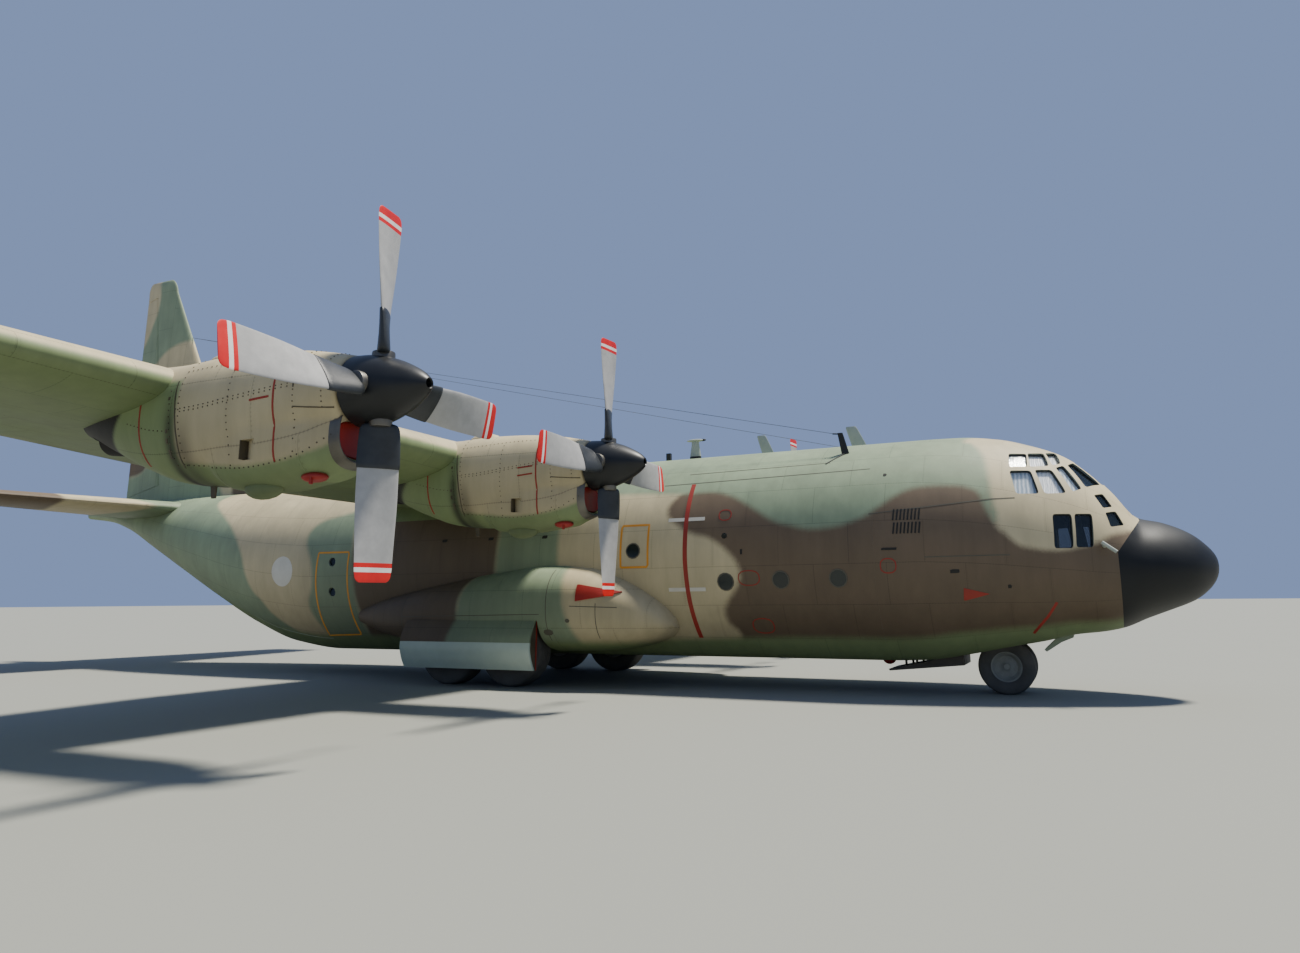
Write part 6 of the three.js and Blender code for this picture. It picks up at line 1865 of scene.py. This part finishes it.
def sponson_side(station, height, side):
    """Points of a sponson's side and their outward directions: powers of the cosine out and the sine up."""
    outer, top, bottom = np.moveaxis(through(SPONSON, station), -1, 0)
    share = (height - (top + bottom) / 2) / ((top - bottom) / 2)
    lean = np.arcsin(np.clip(np.abs(share) ** (1 / 0.85), 0, 1))
    across = SPONSON_INNER + np.cos(lean) ** 0.7 * (outer - SPONSON_INNER)
    outward = np.stack([0 * across, side * np.cos(lean), np.sign(share) * np.sin(lean)], axis=-1)
    return np.stack([station, side * across, height], axis=-1), outward


def walk(points, pitch=0.07):
    """Even steps along a line through flat points: its stations and heights."""
    p = np.asarray(points, float)
    length = np.concatenate([[0], np.cumsum(np.linalg.norm(np.diff(p, axis=0), axis=1))])
    at = np.linspace(0, length[-1], 2 + int(length[-1] / pitch))
    return np.interp(at, length, p[:, 0]), np.interp(at, length, p[:, 1])


def skin_line(name, points, width, side, surface=body_side, lift=0.004):
    path, outward = surface(*walk(points), side)
    return stripe(name, path, outward, width, lift)


def skin_plate(name, outline, side, surface=body_side, lift=0.005):
    """A thin plate on the skin: its outline shrinks to the middle above the skin, and again below it."""
    corners = np.stack(walk(list(outline) + [outline[0]], 0.05), axis=-1)[:-1]
    middle = corners.mean(axis=0)
    rings = []
    for scale, height in ((0.01, 1), (0.35, 1), (0.7, 1), (1, 1), (1, -1), (0.7, -1), (0.35, -1), (0.01, -1)):
        flat = middle + (corners - middle) * scale
        path, outward = surface(flat[:, 0], flat[:, 1], side)
        rings.append(path + outward * lift * height)
    return real_loft(name, rings, 30)


def oval(station, height, half_length, half_height, power=1.0, count=28):
    turn = full_turn(count)
    c, s = np.cos(turn), np.sin(turn)
    across = np.sign(c) * np.abs(c) ** power * half_length
    rise = np.sign(s) * np.abs(s) ** power * half_height
    return list(zip(station + across, height + rise))


def box_outline(station, height, half_length, half_height):
    return [(station + i * half_length, height + j * half_height)
            for i, j in ((1, -1), (-1, -1), (-1, 1), (1, 1))]


def clear(points, side):
    """Whether a mark keeps off the crew door, which is only to port."""
    return side < 0 or min(abs(s - sum(CREW_DOOR["stations"]) / 2) for s, z in points) > DOOR_MARGIN


for side, label in SIDES:
    marks = {
        "joints": [skin_line("joint", line, 0.016, side, lift=0.002) for line in SEALED_JOINTS
                   if clear(line, side)],
        "red": [skin_line("stripe", RED_STRIPE, 0.085, side),
                skin_line("nose_stripe", NOSE_STRIPE, 0.05, side), skin_plate("triangle", TRIANGLE, side)],
        "orange": [skin_line("rescue", list(line) + [line[0]], 0.04, side) for line in RESCUE_OUTLINES],
        "white": [skin_line("placard", ((a, z), (b, z)), 2 * h, side, lift=0.003) for a, b, z, h in PLACARDS],
        "ports": [skin_plate("port", oval(s, z, r, r), side, lift=0.006) for s, z, r in PORTHOLES],
        "vents": [skin_plate("vent", box_outline(*row), side, lift=0.006) for row in VENTS
                  if clear([row[:2]], side)],
    }
    marks["white"].append(skin_plate("disc", oval(DISC[0], DISC[1], DISC[2], DISC[2]), side, lift=0.003))
    for s, z, length, height in RINGS:
        outline = oval(s, z, length, height, 0.75)
        if clear(outline, side):
            marks["red"].append(skin_line("ring", outline + [outline[0]], 0.018, side))
    for s, z, r in PORTHOLES[:4]:
        outline = oval(s, z, r + 0.012, r + 0.012)
        marks["joints"].append(skin_line("port_rim", outline + [outline[0]], 0.022, side, lift=0.008))
    if side < 0:
        for low, high in LOUVRES["heights"]:
            marks["vents"] += [skin_line("louvre", ((s, low), (s + 0.02, high)), LOUVRES["width"], side,
                                         lift=0.007)
                               for s in LOUVRES["stations"]]
    finishes = {"joints": (sealant_grey, "black_plastic"), "red": (stripe_red, "sand_paint"),
                "orange": (rescue_orange, "sand_paint"), "white": (placard_white, "sand_paint"),
                "ports": (port_glass_dark, "window_glass"), "vents": (vent_black, "black_plastic")}
    for kind, (material, slot) in finishes.items():
        laid = joined(f"fuselage_{kind}_{label}", marks[kind])
        wear(laid, material, "airframe", slot)

# Fittings of the nose, crown and belly: a pitot tube on either side, raked blade aerials, an upright aerial
# with a flat cap, two bent masts with taut wires to the fin, and a red beacon under the belly.
AERIALS = (
    (7.79, 0.5, 0.56, 0.3, 0.035, 0.22),
    (5.84, 0.5, 0.58, 0.34, 0.035, 0.24),
)
MAST_FOOT, MAST_TOP, STAY_FOOT = (5.83, 1.08, 4.32), (5.93, 1.08, 4.72), (6.14, 1.39, 4.1)
WIRE_END = (25.84, 0.0, 9.6)
WIRE_RADIUS = 0.005
aerial_grey = worn_paint("pale_grey_aerial_enamel", "#8F978C", "#B4BAAE", 0.5, 60)
mast_black = worn_paint("matt_black_fibreglass", "#141514", "#2C2E2B", 0.6, 60)
beacon_red = worn_paint("red_beacon_lens", "#7A0F0B", "#B3231B", 0.2, 20)


def crown_height(y, station=8.0):
    half, crown, widest, belly, flat = section(station)
    return widest + (crown - widest) * np.sqrt(1 - (y / half) ** 2)


def blade_aerial(name, station, y, height, length, thickness, rake):
    """A swept blade: lens sections that shrink and lean aft from the foot to the top."""
    turn = full_turn(20)
    foot = crown_height(y) - 0.04
    rings = []
    for share in (0, 0.3, 0.6, 0.9, 0.97, 1.0):
        chord = length / 2 * (1 - 0.35 * share) * (1 if share < 0.95 else 0.96 if share < 1 else 0.8)
        thick = thickness / 2 * (1 if share < 0.95 else 0.6 if share < 1 else 0.2)
        rings.append(np.stack([station + rake * share + chord * np.cos(turn), y + thick * np.sin(turn),
                               0 * turn + foot + (height + 0.04) * share], axis=-1))
    return real_loft(name, rings, 30)


def rod(name, start, end, radius, sides=10):
    start, end = np.asarray(start, float), np.asarray(end, float)
    span = end - start
    return disc_bar(name, (start + end) / 2, span, radius, np.linalg.norm(span), sides)


pale = [blade_aerial("blade_aerial", *row) for row in AERIALS]
top = crown_height(0.0)
upright = [np.stack([9.33 + half * np.cos(full_turn(24)),
                     depth * np.sin(full_turn(24)), np.full(24, top + rise)],
                    axis=-1)
           for half, depth, rise in ((0.13, 0.055, 0.07), (0.09, 0.05, 0.3), (0.08, 0.05, 0.4))]
pale.append(real_loft("upright_aerial", upright, 30))
pale.append(mound("aerial_cap", (9.33, 0, top + 0.42), (0.2, 0.085, 0.032)))
pale_aerials = joined("pale_aerials", pale)
wear(pale_aerials, aerial_grey, "airframe", "green_paint")

dark = [real_loft("aerial_foot", [upright[0] * [1, 1.1, 1] - [0, 0, lift] for lift in (0.12, 0.0)], 30),
        block("aft_stub", (10.0, 10.1), (0.16, 0.24), (crown_height(0.2) - 0.04, crown_height(0.2) + 0.23)),
        mound("cap_tip", (9.15, 0, top + 0.42), (0.07, 0.03, 0.026))]
wires = []
for side in (1, -1):
    foot, head, stay = (np.array(p) * [1, side, 1] for p in (MAST_FOOT, MAST_TOP, STAY_FOOT))
    mast_rings = []
    for at, chord in ((foot - [0, 0, 0.06], 0.075), (foot + (head - foot) * 0.8, 0.055), (head, 0.05)):
        turn = full_turn(16)
        mast_rings.append(at + np.stack([chord * np.cos(turn), 0.022 * np.sin(turn), 0 * turn], axis=-1))
    dark += [real_loft("mast", mast_rings, 30), rod("stay", foot + [0, 0, 0.01], stay, 0.018),
             rod("arm", head - [0, 0, 0.02], head + [0.14, 0, -0.005], 0.014)]
    wires.append(rod("wire", head + [0.12, 0, -0.005], WIRE_END, WIRE_RADIUS, 6))
dark_fittings = joined("crown_masts", dark)
wear(dark_fittings, mast_black, "airframe", "black_plastic")
wire_pair = joined("aerial_wires", wires)
wear(wire_pair, bare_steel, "airframe", "gear_steel")

tubes = []
for side in (1, -1):
    foot, outward = (row[0] for row in body_side(np.array([1.69]), np.array([2.45]), side))
    knee = foot + outward * 0.14
    tubes.append(rod("pitot_strut", foot - outward * 0.03, knee, 0.03))
    tubes.append(rod("pitot_tube", knee + [0.03, 0, 0.03], knee - [0.17, 0, 0.13], 0.03))
pitots = joined("pitot_tubes", tubes)
wear(pitots, aerial_grey, "airframe", "gear_steel")
beacon = mound("belly_beacon", (5.45, 0.0, section(5.45)[3] - 0.02), (0.13, 0.1, 0.12))
wear(beacon, beacon_red, "airframe", "window_glass")

# Sponson fittings: the sheet's sealed joints, a red vinyl cover strapped over the air scoop, and dark drain
# slots cut in the sheet below it.
SCOOP_COVER = ((10.72, 1.64), (10.72, 1.95), (10.2, 1.86), (9.85, 1.8), (10.2, 1.72))
SPONSON_JOINTS = (((10.32, 0.95), (10.32, 1.6)), ((11.35, 0.9), (11.35, 2.25)), ((10.85, 1.55), (9.9, 1.52)),
                  ((15.0, 0.95), (15.0, 1.8)), ((15.0, 1.35), (11.5, 1.4)), ((16.0, 1.1), (16.0, 1.6)))
for side, label in SIDES:
    cover = skin_plate(f"scoop_cover_{label}", SCOOP_COVER, side, sponson_side, 0.03)
    wear(cover, cover_red, "airframe", "seat_fabric")
    slots = [skin_plate("slot", oval(11.35, 1.06, 0.1, 0.055, 0.8), side, sponson_side),
             skin_plate("slot", oval(10.9, 1.28, 0.05, 0.04), side, sponson_side)]
    slots += [skin_line("joint", line, 0.014, side, sponson_side, 0.002) for line in SPONSON_JOINTS]
    sponson_marks = joined(f"sponson_joints_{label}", slots)
    wear(sponson_marks, sealant_grey, "airframe", "black_plastic")
